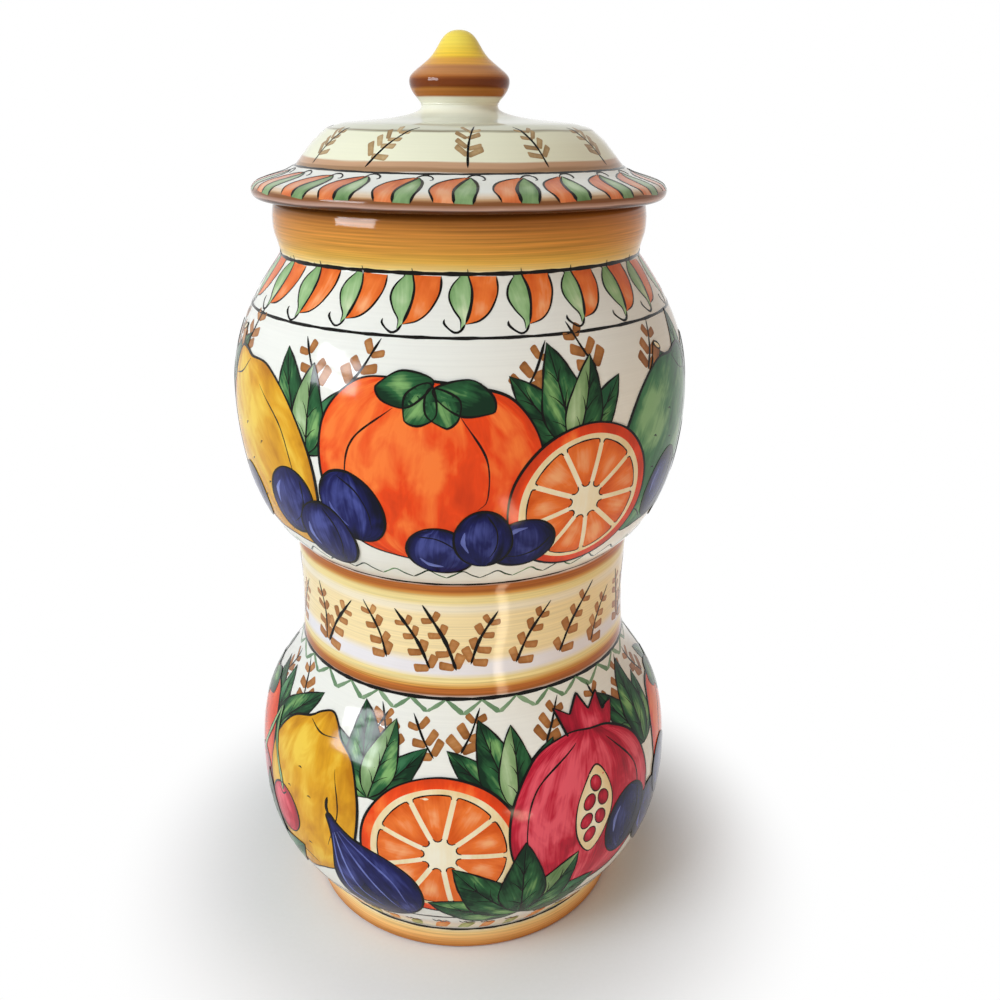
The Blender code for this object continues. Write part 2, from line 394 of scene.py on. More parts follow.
def painting_tree():
    """Repeats flat artwork round the ware and wraps it on the ware's profile.

    Artwork lies flat: X runs round the ware, Y climbs its profile and Z stands off it.
    """
    tree, given = new_tree(
        "painted_border", Artwork="Geometry", Profile="Object", Copies="Int", First_Turn="Float",
        Base="Float", Lean="Float", Spread="Float", Seed="Int", Finish="Material",
    )
    index = add(tree, "GeometryNodeInputIndex")
    line = add(tree, "GeometryNodeMeshLine", Count=given["Copies"], Offset=(0, 0, 0))

    def chance(low, high, salt):
        """A random value between two others for each copy."""
        seed = add(tree, "ADD", given["Seed"], salt)
        return add(tree, "FunctionNodeRandomValue", data_type="FLOAT",
                   _2=low, _3=high, ID=index, Seed=seed).outputs[1]

    spread = given["Spread"]
    lean = chance(add(tree, "MULTIPLY", given["Lean"], -1), given["Lean"], 0)
    scale = chance(add(tree, "SUBTRACT", 1, spread), add(tree, "ADD", 1, spread), 1)
    turned = add(tree, "FunctionNodeEulerToRotation", Euler=add(tree, "ShaderNodeCombineXYZ", Z=lean))
    copies = add(tree, "GeometryNodeInstanceOnPoints", Points=line, Instance=given["Artwork"],
                 Rotation=turned, Scale=scale)
    shift = chance(add(tree, "MULTIPLY", spread, -1), spread, 2)
    pitch = add(tree, "DIVIDE", TURN, given["Copies"])
    moved = add(tree, "MULTIPLY", pitch, add(tree, "ADD", index, shift))
    marked = add(tree, "GeometryNodeStoreNamedAttribute", data_type="FLOAT", domain="INSTANCE",
                 Geometry=copies, Name="turn", Value=add(tree, "ADD", given["First Turn"], moved))
    real = add(tree, "GeometryNodeRealizeInstances", Geometry=marked)
    flat = add(tree, "ShaderNodeSeparateXYZ", add(tree, "GeometryNodeInputPosition")).outputs
    profile = add(tree, "GeometryNodeObjectInfo", transform_space="ORIGINAL", Object=given["Profile"])
    sample = add(tree, "GeometryNodeSampleCurve", mode="LENGTH", Curves=profile.outputs["Geometry"],
                 Length=add(tree, "ADD", given["Base"], flat["Y"])).outputs
    spot = add(tree, "ShaderNodeSeparateXYZ", sample["Position"]).outputs
    climb = add(tree, "ShaderNodeSeparateXYZ", sample["Tangent"]).outputs
    radius = add(tree, "MULTIPLY_ADD", climb["Z"], flat["Z"], spot["X"])
    height = add(tree, "SUBTRACT", spot["Z"], add(tree, "MULTIPLY", climb["X"], flat["Z"]))
    turns = [
        add(tree, "GeometryNodeInputNamedAttribute", data_type="FLOAT", Name=name)
        for name in ("turn", "place")
    ]
    angle = add(tree, "ADD", add(tree, "ADD", *turns), add(tree, "DIVIDE", flat["X"], spot["X"]))
    return close_tree(tree, spun(tree, real, radius, angle, height), given["Finish"])


def run_tree(name, mesh, tree, material, **values):
    """A plain mesh object from a mesh run through a geometry tree with its inputs set."""
    source = bpy.data.objects.new(name + "_source", mesh)
    bpy.context.scene.collection.objects.link(source)
    modifier = source.modifiers.new("nodes", "NODES")
    modifier.node_group = tree
    inputs = {item.name: item.identifier for item in tree.interface.items_tree if item.in_out == "INPUT"}
    for label, value in {"Finish": material, **values}.items():
        modifier[inputs[label.replace("_", " ")]] = value
    evaluated = source.evaluated_get(bpy.context.evaluated_depsgraph_get())
    result = bpy.data.meshes.new_from_object(evaluated)
    result.name = name
    result.materials.clear()
    result.materials.append(material)
    bpy.data.objects.remove(source, do_unlink=True)
    piece = bpy.data.objects.new(name, result)
    bpy.context.scene.collection.objects.link(piece)
    if not result.polygons:
        raise RuntimeError(f"{name} came out empty")
    return piece


# Materials


def new_material(name):
    """A material with its node tree and its shader's sockets."""
    material = bpy.data.materials.new(name)
    material.use_nodes = True
    return material, material.node_tree, material.node_tree.nodes["Principled BSDF"].inputs


def glazed(name, colour_of, roughness, grain=0.4):
    """Painted earthenware under a fired gloss glaze: clear, wet-looking highlights on wavy clay.

    colour_of draws the paint in the new tree and gives its colour and a height for the bump, whose
    strength is the grain.
    """
    material, tree, shader = new_material(name)
    colour, relief = colour_of(tree)
    shader["IOR"].default_value = 1.5
    shader["Specular IOR Level"].default_value = 0.12
    place = add(tree, "ShaderNodeTexCoord").outputs["Object"]
    # Thrown clay waves over about 25 mm, and the glaze ripples over about 4 mm
    wave = add(tree, "ShaderNodeTexNoise", Vector=place, Scale=1 / (25 * MM), Detail=1.0)
    ripple = add(tree, "ShaderNodeTexNoise", Vector=place, Scale=1 / (4 * MM), Detail=2.0)
    sheen = add(tree, "ShaderNodeMapRange", Value=ripple, To_Min=roughness * 0.7, To_Max=roughness * 1.4)
    height = add(tree, "MULTIPLY_ADD", wave, 9.0, add(tree, "MULTIPLY_ADD", ripple, 0.35, relief))
    bump = add(tree, "ShaderNodeBump", Height=height, Distance=0.02 * MM, Strength=grain)
    for socket, value in (("Base Color", colour), ("Roughness", sheen), ("Normal", bump)):
        plug(tree, shader[socket], value)
    return material


def streaks(tree, around, up, detail=3.0):
    """Brush streaks that run round the ware, from their length and width in metres."""
    place = add(tree, "ShaderNodeTexCoord").outputs["Object"]
    drawn = add(tree, "ShaderNodeMapping", Vector=place, Scale=(1 / around, 1 / around, 1 / up))
    return add(tree, "ShaderNodeTexNoise", Vector=drawn, Scale=1.0, Detail=detail)


def banded(bands, span, depth, waver=1.0):
    """Colour by height: bands laid on with a full brush as the ware turns, so edges waver a little.

    Bands are rows of height in mm and colour, span is the stretch of heights that they cover, depth
    how dark the streaks are, and waver how far the edges stray, as a share of the common reach.
    """
    low, high = span[0] * MM, span[1] * MM
    bands = [((z * MM - low) / (high - low), linear(colour)) for z, colour in bands]

    def draw(tree):
        place = add(tree, "ShaderNodeTexCoord").outputs["Object"]
        level = add(tree, "ShaderNodeSeparateXYZ", Vector=place).outputs["Z"]
        # Edges drift over about 30 mm, and single brush hairs are about 0.55 mm wide
        drift = add(tree, "SUBTRACT", streaks(tree, 30 * MM, 30 * MM, 1.0), 0.5)
        hairs = streaks(tree, 45 * MM, 0.55 * MM)
        hair = add(tree, "SUBTRACT", hairs, 0.5)
        for stray, reach in ((drift, 1.2 * MM), (hair, 0.9 * MM)):
            level = add(tree, "MULTIPLY_ADD", stray, reach * waver, level)
        share = add(tree, "ShaderNodeMapRange", Value=level, From_Min=low, From_Max=high)
        colour = add(tree, "ShaderNodeValToRGB", share, stops=bands)
        strength = add(tree, "ShaderNodeValToRGB", share, stops=streaked(bands))
        change = add(tree, "MULTIPLY", add(tree, "MULTIPLY", hair, strength), depth * 6)
        value = add(tree, "ADD", change, 1.0)
        return add(tree, "ShaderNodeHueSaturation", Value=value, Color=colour), hairs
    return draw


def streaked(bands):
    """How far brush streaks show: much on saturated bands, and hardly on the white ground."""
    rows = []
    for position, colour in bands:
        strength = (max(colour) - min(colour)) * (1 - 0.3 * colour[0] - 0.6 * colour[1])
        rows.append((position, (min(1.0, 0.04 + 2.4 * strength),) * 3))
    return rows


def clouded(first, second, size):
    """A bare surface whose two close colours drift into each other over a size in millimetres."""
    def draw(tree):
        cloud = streaks(tree, size * MM, size * MM, 2.0)
        blend = add(tree, "ShaderNodeMix", data_type="RGBA", _0=cloud, _6=linear(first),
                    _7=linear(second))
        return blend.outputs[2], cloud
    return draw


def clear_glaze(name, colour):
    """Clear glaze with nothing painted on it: faintly cloudy, and greyer where it thins."""
    return glazed(name, clouded(colour, shade(colour, 0.9), 18), 0.14)


def silicone_material():
    """Moulded silicone rubber, translucent white: light goes a little way in, and dust dulls it."""
    material = glazed("silicone_rubber", clouded("#DAD9D2", "#C4C3BA", 6), 0.42, 0.2)
    shader = material.node_tree.nodes["Principled BSDF"].inputs
    shader["IOR"].default_value = 1.41
    shader["Subsurface Weight"].default_value = 0.3
    shader["Subsurface Radius"].default_value = (1.0, 1.0, 1.0)
    shader["Subsurface Scale"].default_value = 2.0 * MM
    return material


def brushed(light, middle, deep, streak, pool):
    """Enamel put on with a loaded brush: streaks along the stroke, pools of colour by the outline.

    brush holds millimetres across and along the stroke, rim the millimetres to the outline.
    """
    thin, full, pooled = 0.05, 0.42, 0.85
    stops = [(thin, linear(light)), (full, linear(middle)), (pooled, linear(deep))]

    def draw(tree):
        brush = add(tree, "ShaderNodeAttribute", attribute_name="brush").outputs["Vector"]
        rim, tone, glow = (
            add(tree, "ShaderNodeAttribute", attribute_name=name).outputs["Fac"]
            for name in ("rim", "tone", "glow")
        )
        seed = add(tree, "MULTIPLY", tone, 40.0)
        # Bristles leave hairs 0.9 mm wide and 12 mm long, and strokes lap every 8 by 14 mm
        hairs = add(tree, "ShaderNodeMapping", Vector=brush, Scale=(1 / 0.9, 1 / 12.0, 1.0))
        hair = add(tree, "ShaderNodeTexNoise", noise_dimensions="4D", Vector=hairs, W=seed, Scale=1.0,
                   Detail=2.0)
        laps = add(tree, "ShaderNodeMapping", Vector=brush, Scale=(1 / 8.0, 1 / 14.0, 1.0))
        lap = add(tree, "ShaderNodeTexNoise", noise_dimensions="4D", Vector=laps, W=seed, Scale=1.0,
                  Detail=3.0, Distortion=0.6)
        edge = add(tree, "ShaderNodeMapRange", interpolation_type="SMOOTHSTEP", Value=rim,
                   From_Min=0.0, From_Max=Artwork.POOL, To_Min=1.0, To_Max=0.0)
        value = full
        for source, centre, amount in (
            (hair, 0.5, 0.55 * streak), (lap, 0.5, 1.5 * pool), (edge, 0.0, 0.22 * pool),
            (glow, 0.0, -0.3), (tone, 0.5, 0.16),
        ):
            if centre:
                source = add(tree, "SUBTRACT", source, centre)
            value = add(tree, "MULTIPLY_ADD", source, amount, value)
        return add(tree, "ShaderNodeValToRGB", value, stops=stops), hair
    return draw


def paint_materials(paint):
    """The enamels by name: colours where thin, full and pooled, then how far they streak and pool."""
    enamels = {
        "ink": (shade(paint.ink, 2.0, 0.004), paint.ink, shade(paint.ink, 0.7), 0.7, 0.4),
        "orange": ("#FF8038", paint.orange, "#CC3A12", 0.35, 1.1),
        "tangerine": ("#FCB078", "#F27A32", "#DB5814", 0.7, 1.0),
        "coral": ("#F0AA7C", "#E8844C", "#CC6030", 1.0, 0.9),
        "yellow": ("#F4CC48", paint.yellow, "#BE7A0C", 0.35, 1.2),
        "crimson": ("#EE5E6E", paint.crimson, "#901026", 1.1, 1.3),
        "indigo": ("#464E94", paint.indigo, "#080922", 1.0, 1.2),
        "leaf": ("#86B46C", paint.leaf, "#10301C", 1.3, 1.4),
        "sage": ("#D4E2B6", paint.sage, "#6F9C5C", 1.0, 0.9),
        "fern": ("#BCD2A4", "#8FAE78", "#5E804C", 0.8, 0.9),
        "jade": ("#8CBA82", "#448054", "#205636", 0.8, 1.2),
        "wheat": ("#DDA868", paint.wheat, "#8A5222", 0.5, 0.8),
        "oxide": ("#D29A60", "#AE723C", "#7C4A20", 0.5, 0.8),
        "tan": ("#DAC498", "#BA9A6C", "#8A6A44", 0.5, 0.9),
        "sky": ("#A9B4E2", "#7682C6", "#4A529A", 0.8, 0.8),
        "pith": ("#FBF4DC", "#F6E6BC", "#EBC98A", 0.6, 0.7),
        "thread": ("#B8CCAE", "#93AE88", "#6B8C66", 0.8, 1.0),
    }
    return {name: glazed(f"{name}_enamel", brushed(*mix), 0.11, 0.35) for name, mix in enamels.items()}


# Flat artwork


def through(knots, closed=False, step=1.1):
    """A smooth line through given points, in millimetres."""
    knots = np.array(knots, float)
    if closed:
        rows = np.vstack([knots[-1], knots, knots[:2]])
    else:
        rows = np.vstack([2 * knots[0] - knots[1], knots, 2 * knots[-1] - knots[-2]])
    line = []
    for a, b, c, d in zip(rows, rows[1:], rows[2:], rows[3:]):
        count = max(2, math.ceil(np.linalg.norm(c - b) / step))
        for k in range(count):
            t = k / count
            line.append(0.5 * (2 * b + (c - a) * t + (2 * a - 5 * b + 4 * c - d) * t * t
                               + (3 * b - a - 3 * c + d) * t ** 3))
    if not closed:
        line.append(knots[-1])
    return np.array(line)


def turn_flat(points, degrees):
    """Flat points turned round the origin."""
    angle = math.radians(degrees)
    matrix = np.array([[math.cos(angle), -math.sin(angle)], [math.sin(angle), math.cos(angle)]])
    return np.asarray(points, float) @ matrix.T


def oval(width, height, centre=(0.0, 0.0), lean=0.0, knots=10, wobble=0.0, seed=1):
    """A hand-drawn oval."""
    chance = random.Random(seed)
    points = []
    for k in range(knots):
        angle = TURN * k / knots
        reach = 1 + wobble * chance.uniform(-1, 1)
        points.append((width / 2 * math.sin(angle) * reach, height / 2 * math.cos(angle) * reach))
    turned = turn_flat(np.array(points), lean) + np.array(centre)
    return through(turned[::-1], closed=True)


def mirrored(half, size):
    """The smooth outline of an even shape, from its right half in shares of its size."""
    points = half + [(-x, y) for x, y in half[::-1] if x]
    return through(np.array(points[::-1]) * size, closed=True)


def blunt(corners, cut=0.5):
    """A shape with corners rounded off over tenths of a millimetre, as a flat brush leaves them."""
    corners = np.array(corners, float)
    points = []
    for before, corner, after in zip(np.roll(corners, 1, axis=0), corners, np.roll(corners, -1, axis=0)):
        start, end = [
            corner + (other - corner) * min(0.42, cut / max(np.linalg.norm(other - corner), 1e-6))
            for other in (before, after)
        ]
        points += [start, (start + 2 * corner + end) / 4, end]
    return np.array(points)


def divided(outline, step):
    """A closed outline with its long edges divided, so that it can follow the round of the ware."""
    points = []
    for start, end in zip(outline, np.roll(outline, -1, axis=0)):
        count = max(1, math.ceil(np.linalg.norm(end - start) / step))
        points += [start + (end - start) * k / count for k in range(count)]
    return np.array(points)


def reach_to(points, outline):
    """Distance from each point to a closed outline."""
    starts, ends = outline, np.roll(outline, -1, axis=0)
    run = ends - starts
    square = np.maximum((run ** 2).sum(1), 1e-9)
    share = np.clip(((points[:, None] - starts) * run).sum(2) / square, 0, 1)
    nearest = starts + share[..., None] * run
    return np.sqrt(((points[:, None] - nearest) ** 2).sum(2)).min(1)


def inside(points, outline):
    """Which points lie inside a closed outline."""
    x, y = points[:, 0, None], points[:, 1, None]
    x0, y0 = outline[:, 0], outline[:, 1]
    x1, y1 = np.roll(x0, -1), np.roll(y0, -1)
    crosses = (y0 > y) != (y1 > y)
    run = np.where(y1 == y0, 1e-9, y1 - y0)
    hit = crosses & (x < (x1 - x0) * (y - y0) / run + x0)
    return hit.sum(1) % 2 == 1


class Spot:
    """Where a motif goes: its turn round the ware from the front in degrees, its rise in mm."""

    def __init__(self, turn=0.0, rise=0.0, lean=0.0, size=1.0, coat=0, flip=False):
        self.turn, self.rise, self.lean, self.size, self.coat = turn, rise, lean, size, coat
        self.sense = -1.0 if flip else 1.0

    def over(self, coats):
        """The same spot, some coats of paint further up."""
        return Spot(self.turn, self.rise, self.lean, self.size, self.coat + coats, self.sense < 0)

    def put(self, points):
        """A motif's points, sized, leaned and raised to the spot."""
        scaled = np.asarray(points, float) * self.size * np.array([self.sense, 1.0])
        return turn_flat(scaled, self.lean) + np.array([0.0, self.rise])


class Artwork:
    """Flat painting in millimetres: for each paint, closed shells of enamel."""

    # How deep a shell stands in the ware, and how wide the pool of paint is beside an outline
    SUNK = 0.05
    POOL = 5.0
    LAYERS = ("rim", "tone", "place", "glow")
    KEYS = ("spots", "faces", "brush", *LAYERS)

    def __init__(self, paint, grid=1.6):
        self.grid = grid
        self.heights = (paint.paint_lift / MM, paint.coat_step / MM, paint.detail_step / MM)
        self.paints = {}
        self.chance = random.Random(7)

    def shell(self, name, flat, faces, spot, detail, brush, rim, glow):
        """Adds one closed shell: top, underside and the wall between them."""
        lift, coat, fine = self.heights
        top = lift + coat * spot.coat + fine * detail
        store = self.paints.setdefault(name, {key: [] for key in self.KEYS})
        base, count = len(store["spots"]), len(flat)
        sides = dict.fromkeys((a, b) for face in faces for a, b in zip(face, face[1:] + face[:1]))
        walls = [(a + count, b + count, b, a) for a, b in sides if (b, a) not in sides]
        under = [[index + count for index in reversed(face)] for face in faces]
        store["faces"] += [tuple(index + base for index in face) for face in faces + under + walls]
        rows = {
            "brush": [(x, y, 0.0) for x, y in brush], "rim": list(rim), "glow": list(glow),
            "tone": [self.chance.random()] * count, "place": [math.radians(spot.turn)] * count,
        }
        for height in (top, -self.SUNK):
            store["spots"] += [(x, y, height) for x, y in flat]
            for key, values in rows.items():
                store[key] += values

    def fill(self, name, outline, spot, detail=0, grain=0.0, glow=(-0.2, 0.22), domed=False):
        """A filled shape. grain is the way of the brush, and glow where the paint is thin and light.

        On a domed shape the strokes follow its roundness, from end to end.
        """
        edge = divided(spot.put(outline), 0.8 * self.grid)
        # The outline has to run anticlockwise
        area = (edge[:, 0] * np.roll(edge[:, 1], -1) - np.roll(edge[:, 0], -1) * edge[:, 1]).sum()
        if area < 0:
            edge = edge[::-1]
        # Points inside it stand in a three-way grid, clear of the edge
        low, high = edge.min(0), edge.max(0)
        grid = min(self.grid, 0.3 * (high - low).min())
        rows = []
        for number, y in enumerate(np.arange(low[1] + grid / 2, high[1], grid * 0.87)):
            first = low[0] + grid * (0.25 + 0.5 * (number % 2))
            rows += [(x, y) for x in np.arange(first, high[0], grid)]
        rows = np.array(rows)
        rows = rows[inside(rows, edge)]
        points = np.vstack([edge, rows[reach_to(rows, edge) > 0.45 * grid]])
        verts, _, faces, _, _, _ = delaunay_2d_cdt(
            [Vector(point) for point in points], [], [list(range(len(edge)))], 1, 1e-4
        )
        flat = np.array([tuple(vert) for vert in verts])
        middle = edge.mean(0)
        brush = turn_flat(flat - middle, -(spot.lean + grain * spot.sense))
        reach = (high - low) / 2
        if domed:
            brush[:, 0] /= np.sqrt(np.clip(1 - (brush[:, 1] / np.abs(brush[:, 1]).max()) ** 2, 0.06, 1))
        lit = middle + np.array(glow) * 2 * reach
        far = np.linalg.norm((flat - lit) / reach, axis=1)
        rim = reach_to(flat, edge)
        rim *= self.POOL / min(self.POOL, rim.max())
        shine = np.clip(1 - far / 0.8, 0, 1)
        self.shell(name, flat, [list(face) for face in faces], spot, detail, brush, rim, shine)

    def line(self, name, path, width, spot, detail=3, closed=False, taper=(0.35, 0.35), sway=0.16):
        """A brush line: width swells and thins as a hand's does, with round or pointed ends."""
        path = spot.put(path)
        count = len(path)
        ahead = np.roll(path, -1, axis=0) - path
        if not closed:
            ahead[-1] = ahead[-2]
        behind = np.roll(ahead, 1, axis=0)
        if not closed:
            behind[0] = ahead[0]
        along = ahead + behind
        along /= np.maximum(np.linalg.norm(along, axis=1), 1e-9)[:, None]
        run = np.concatenate([[0.0], np.cumsum(np.linalg.norm(ahead, axis=1))])[:count]
        phase = self.chance.uniform(0, TURN)
        half = width * (0.6 + 0.4 * spot.size) / 2
        if closed:
            half = half * (1 + sway * np.sin(phase + TURN * np.arange(count) / count * 3))
        else:
            whole = max(run[-1], 1e-6)
            # The hand presses about once in 14 mm
            waves = max(1, round(run[-1] / 14)) / whole
            half = half * (1 + sway * np.sin(phase + TURN * waves * run)
                           + 0.5 * sway * np.sin(2.7 * TURN * waves * run))
            for share, end in ((run / whole, taper[0]), (1 - run / whole, taper[1])):
                half = half * np.sqrt(np.clip(np.minimum(1, share / max(0.001, end)), 0.02, 1))
        side = np.column_stack([-along[:, 1], along[:, 0]]) * half[:, None]
        flat = np.vstack([path - side, path + side])
        pairs = [(k, (k + 1) % count) for k in range(count if closed else count - 1)]
        faces = [[a, b, b + count, a + count] for a, b in pairs]
        brush = np.vstack([np.column_stack([-half, run]), np.column_stack([half, run])])
        zero = np.zeros(2 * count)
        self.shell(name, flat, faces, spot, detail, brush, zero + 0.4, zero)

    def stroke(self, knots, width, spot, paint="ink", **options):
        """A brush line through given points."""
        self.line(paint, through(knots), width, spot, **options)

    def outlined(self, name, outline, spot, width=0.72, grain=0.0, domed=False):
        """A filled shape with its ink outline."""
        self.fill(name, outline, spot, grain=grain, domed=domed)
        self.line("ink", outline, width, spot, closed=True, sway=0.28)

    def meshes(self):
        """One mesh for each paint, in metres, with the paint's attributes."""
        made = {}
        for name, store in self.paints.items():
            mesh = bpy.data.meshes.new(name)
            spots = [tuple(c * MM for c in spot) for spot in store["spots"]]
            mesh.from_pydata(spots, [], store["faces"])
            brush = mesh.attributes.new("brush", "FLOAT_VECTOR", "POINT")
            brush.data.foreach_set("vector", np.array(store["brush"], np.float32).ravel())
            for key in self.LAYERS:
                layer = mesh.attributes.new(key, "FLOAT", "POINT")
                layer.data.foreach_set("value", np.array(store[key], np.float32))
            made[name] = mesh
        return made


# Motifs, each drawn round its own origin in millimetres


def shoulder_pair(art, spot):
    """A green and an orange lobe that hang from the neck line and end in a hooked tendril."""
    left = through([(-2.3, 0.3), (-4.9, -3.2), (-5.7, -6.8), (-4.3, -10.6), (-2.4, -13.6), (-2.4, -16.4)])
    middle = through([(0.0, 0.3), (1.0, -3.8), (0.9, -8.0), (0.1, -11.8), (-0.9, -14.9)])
    right = through([(8.3, 0.3), (8.7, -3.4), (8.2, -6.6), (6.2, -11.0), (3.2, -13.8), (-0.7, -15.0)])
    hook = [(-0.9, -14.9), (-2.3, -17.0), (-4.0, -17.6), (-6.0, -16.3), (-7.2, -14.8), (-7.0, -13.6)]
    art.fill("sage", np.vstack([left, middle[::-1]]), spot, grain=8, glow=(0.1, -0.35))
    art.fill("tangerine", np.vstack([middle, right[::-1]]), spot, detail=1, grain=-8, glow=(0.1, -0.25))
    art.line("ink", left, 0.62, spot, taper=(0.3, 0.3))
    art.line("ink", np.vstack([[(-0.3, 2.4)], middle]), 0.85, spot, taper=(0.3, 0.1))
    art.line("ink", right, 0.62, spot, taper=(0.1, 0.3))
    art.stroke(hook, 0.72, spot, detail=4, taper=(0.2, 0.1))
    art.line("ink", [(-3.4, 1.5), (-2.9, 0.6), (-2.3, -0.4)], 0.4, spot, detail=4)


def brim_pair(art, spot):
    """An orange and a green lobe that sweep up the brim, with a curled tendril at the top."""
    left = through([(-5.2, -0.4), (-6.7, 4.3), (-5.2, 9.0), (-2.2, 11.6), (2.2, 13.1)])
    middle = through([(0.1, -0.4), (-0.3, 4.2), (0.9, 8.7), (2.2, 11.4), (3.6, 13.1)])
    right = through([(5.0, -0.4), (5.9, 4.2), (5.7, 8.6), (4.9, 11.2), (3.6, 13.1)])
    curl = [(2.2, 12.4), (3.8, 14.1), (5.7, 14.3), (7.2, 13.4), (7.5, 12.2), (6.8, 11.9)]
    art.fill("coral", np.vstack([left, middle[::-1]]), spot, grain=-10, glow=(-0.1, -0.3))
    art.fill("fern", np.vstack([middle, right[::-1]]), spot, detail=2, grain=-10, glow=(0.1, 0.1))
    for path, width, end in ((left, 0.6, 0.4), (middle, 0.95, 0.3), (right, 0.8, 0.2)):
        art.line("ink", path, width, spot, detail=9, taper=(0.02, end))
    art.stroke(curl, 0.5, spot, detail=10, taper=(0.3, 0.2))


def sprig(art, spot, rows, tall, bow, stem, mark=(5.2, 3.2), paint="wheat", top=0.74):
    """A wheat sprig: pairs of brush marks that leave a dark bowed stem at about 50 degrees.

    mark is the length and thickness of a brush mark, and top how far up the stem the last pair starts.
    """
    chance = art.chance.uniform
    spine = through([(-0.5 * bow, 0.0), (0.35 * bow, tall * 0.45), (0.5 * bow, tall)])
    for row in range(rows):
        share = 0.03 + (top - 0.03) * row / max(1, rows - 1)
        at = spine[int(share * (len(spine) - 1))] + np.array([0.0, 0.5])
        for sense in (-1.0, 1.0):
            size = np.array(mark) * (1.15 - 0.5 * share) * (chance(0.9, 1.08), chance(0.88, 1.1))
            dab = np.array([(0.05, -0.36), (0.95, -0.54), (1.06, 0.42), (0.05, 0.44)]) * size
            dab = turn_flat(dab, 38 + chance(-10, 9)) + (0.0, chance(-0.3, 0.3))
            dab = blunt(dab * (sense, 1.0) + at, 0.26 * mark[1])
            # A mark this small is even in tone, so its light spot lies far outside it
            art.fill(paint, dab, spot, grain=50 * sense, glow=(9, 9))
    if stem:
        art.line("ink", spine, stem, spot, detail=4, taper=(0.08, 0.2), sway=0.2)


def leaf(art, spot, tall, wide, light):
    """A pointed leaf, brushed in two strokes beside its rib, the right one in its own paint."""
    bend, veins = 2.5, 3
    tip = (bend, tall)
    rib = through([(0, 0), (bend * 0.1, tall * 0.35), (bend * 0.45, tall * 0.7), tip])
    left = through([(0, 0), (-0.34 * wide, 0.16 * tall), (-0.5 * wide, 0.42 * tall),
                    (-0.27 * wide + bend * 0.5, 0.76 * tall), tip])
    right = through([(0, 0), (0.36 * wide, 0.14 * tall), (0.54 * wide + bend * 0.1, 0.40 * tall),
                     (0.26 * wide + bend * 0.7, 0.78 * tall), tip])
    art.fill("leaf", np.vstack([left, rib[::-1]]), spot, grain=14, glow=(0.3, -0.35))
    art.fill(light, np.vstack([right, rib[::-1]]), spot, grain=-14, glow=(-0.3, 0.1))
    for side in (left, right):
        art.line("ink", side, 0.55, spot, taper=(0.1, 0.1), sway=0.3)
    art.line("ink", rib, 0.6, spot, taper=(0.02, 0.6))
    for number in range(veins):
        share = 0.2 + 0.44 * number / (veins - 1)
        at = rib[int(share * (len(rib) - 1))]
        for sense in (-1.0, 1.0):
            reach = sense * wide * 0.32 * (1.15 - share) * art.chance.uniform(0.75, 1.15)
            end = at + np.array([reach, tall * art.chance.uniform(0.11, 0.19)])
            vein = through([at, (at + end) / 2 + (0, tall * 0.02), end], step=0.9)
            art.line("ink", vein, 0.38, spot, detail=4, taper=(0.02, 0.8))


def stalk(art, spot, tall=13.0, wide=3.6):
    """A cut stalk with its pale end."""
    body = [(-0.34, 0.0), (-0.4, 0.5), (-0.6, 1.0), (0.6, 1.0), (0.4, 0.5), (0.34, 0.0)]
    art.outlined("oxide", blunt(np.array(body) * (wide, tall)), spot, 0.6)
    art.outlined("pith", oval(wide * 1.15, wide * 0.5, (0, tall), knots=8), spot.over(1), 0.5)


def lemon(art, spot, tall=60.0, wide=44.0, paint="yellow"):
    """A lemon with its nipple, its pores and a turned shade line."""
    half = [
        (0.0, 0.5), (0.10, 0.46), (0.17, 0.41), (0.36, 0.32), (0.49, 0.12), (0.49, -0.12), (0.36, -0.32),
        (0.17, -0.42), (0.08, -0.47), (0.0, -0.5),
    ]
    size = np.array((wide, tall))
    art.outlined(paint, mirrored(half, size), spot, domed=True)
    for sense in (1.0, -1.0):
        art.stroke([(-0.15, sense * 0.40), (0.0, sense * 0.375), (0.15, sense * 0.40)] * size, 0.5, spot)
    art.stroke([(0.24, 0.26), (0.34, 0.04), (0.27, -0.2)] * size, 0.6, spot, taper=(0.5, 0.5))
    for x, y in ((-0.2, -0.02), (-0.08, -0.16), (-0.24, -0.2), (0.04, 0.02), (-0.1, 0.14), (0.06, -0.28)):
        art.stroke(np.array([(0, 0), (0.9, 0.5), (1.8, 0.3)]) + (x * wide, y * tall), 0.5, spot)


def persimmon(art, spot, wide=60.0):
    """A squat persimmon with its four-lobed calyx."""
    half = [(0.14, 0.415), (0.34, 0.37), (0.485, 0.17), (0.47, -0.12), (0.30, -0.36), (0.10, -0.42)]
    art.outlined("orange", mirrored(half, wide), spot, domed=True)
    for bow, low in ((-0.36, -0.24), (0.27, -0.12)):
        crease = np.array([(bow * 0.45, 0.29), (bow * 0.92, 0.12), (bow, -0.06), (bow * 0.86, low)])
        art.stroke(crease * wide, 0.65, spot, taper=(0.3, 0.7))
    for lean, reach in ((-78, 0.25), (-30, 0.19), (28, 0.18), (76, 0.27)):
        lobe = np.array([
            (-0.075, 0.45 * reach), (-0.05, 0.86 * reach), (0.0, reach), (0.03, 0.92 * reach),
            (0.075, 0.5 * reach), (0.02, 0.0),
        ])
        lobe = turn_flat(through(lobe * wide, closed=True), lean + 180) + np.array([0.0, 0.40 * wide])
        art.outlined("leaf", lobe, spot.over(1), 0.55, grain=lean)


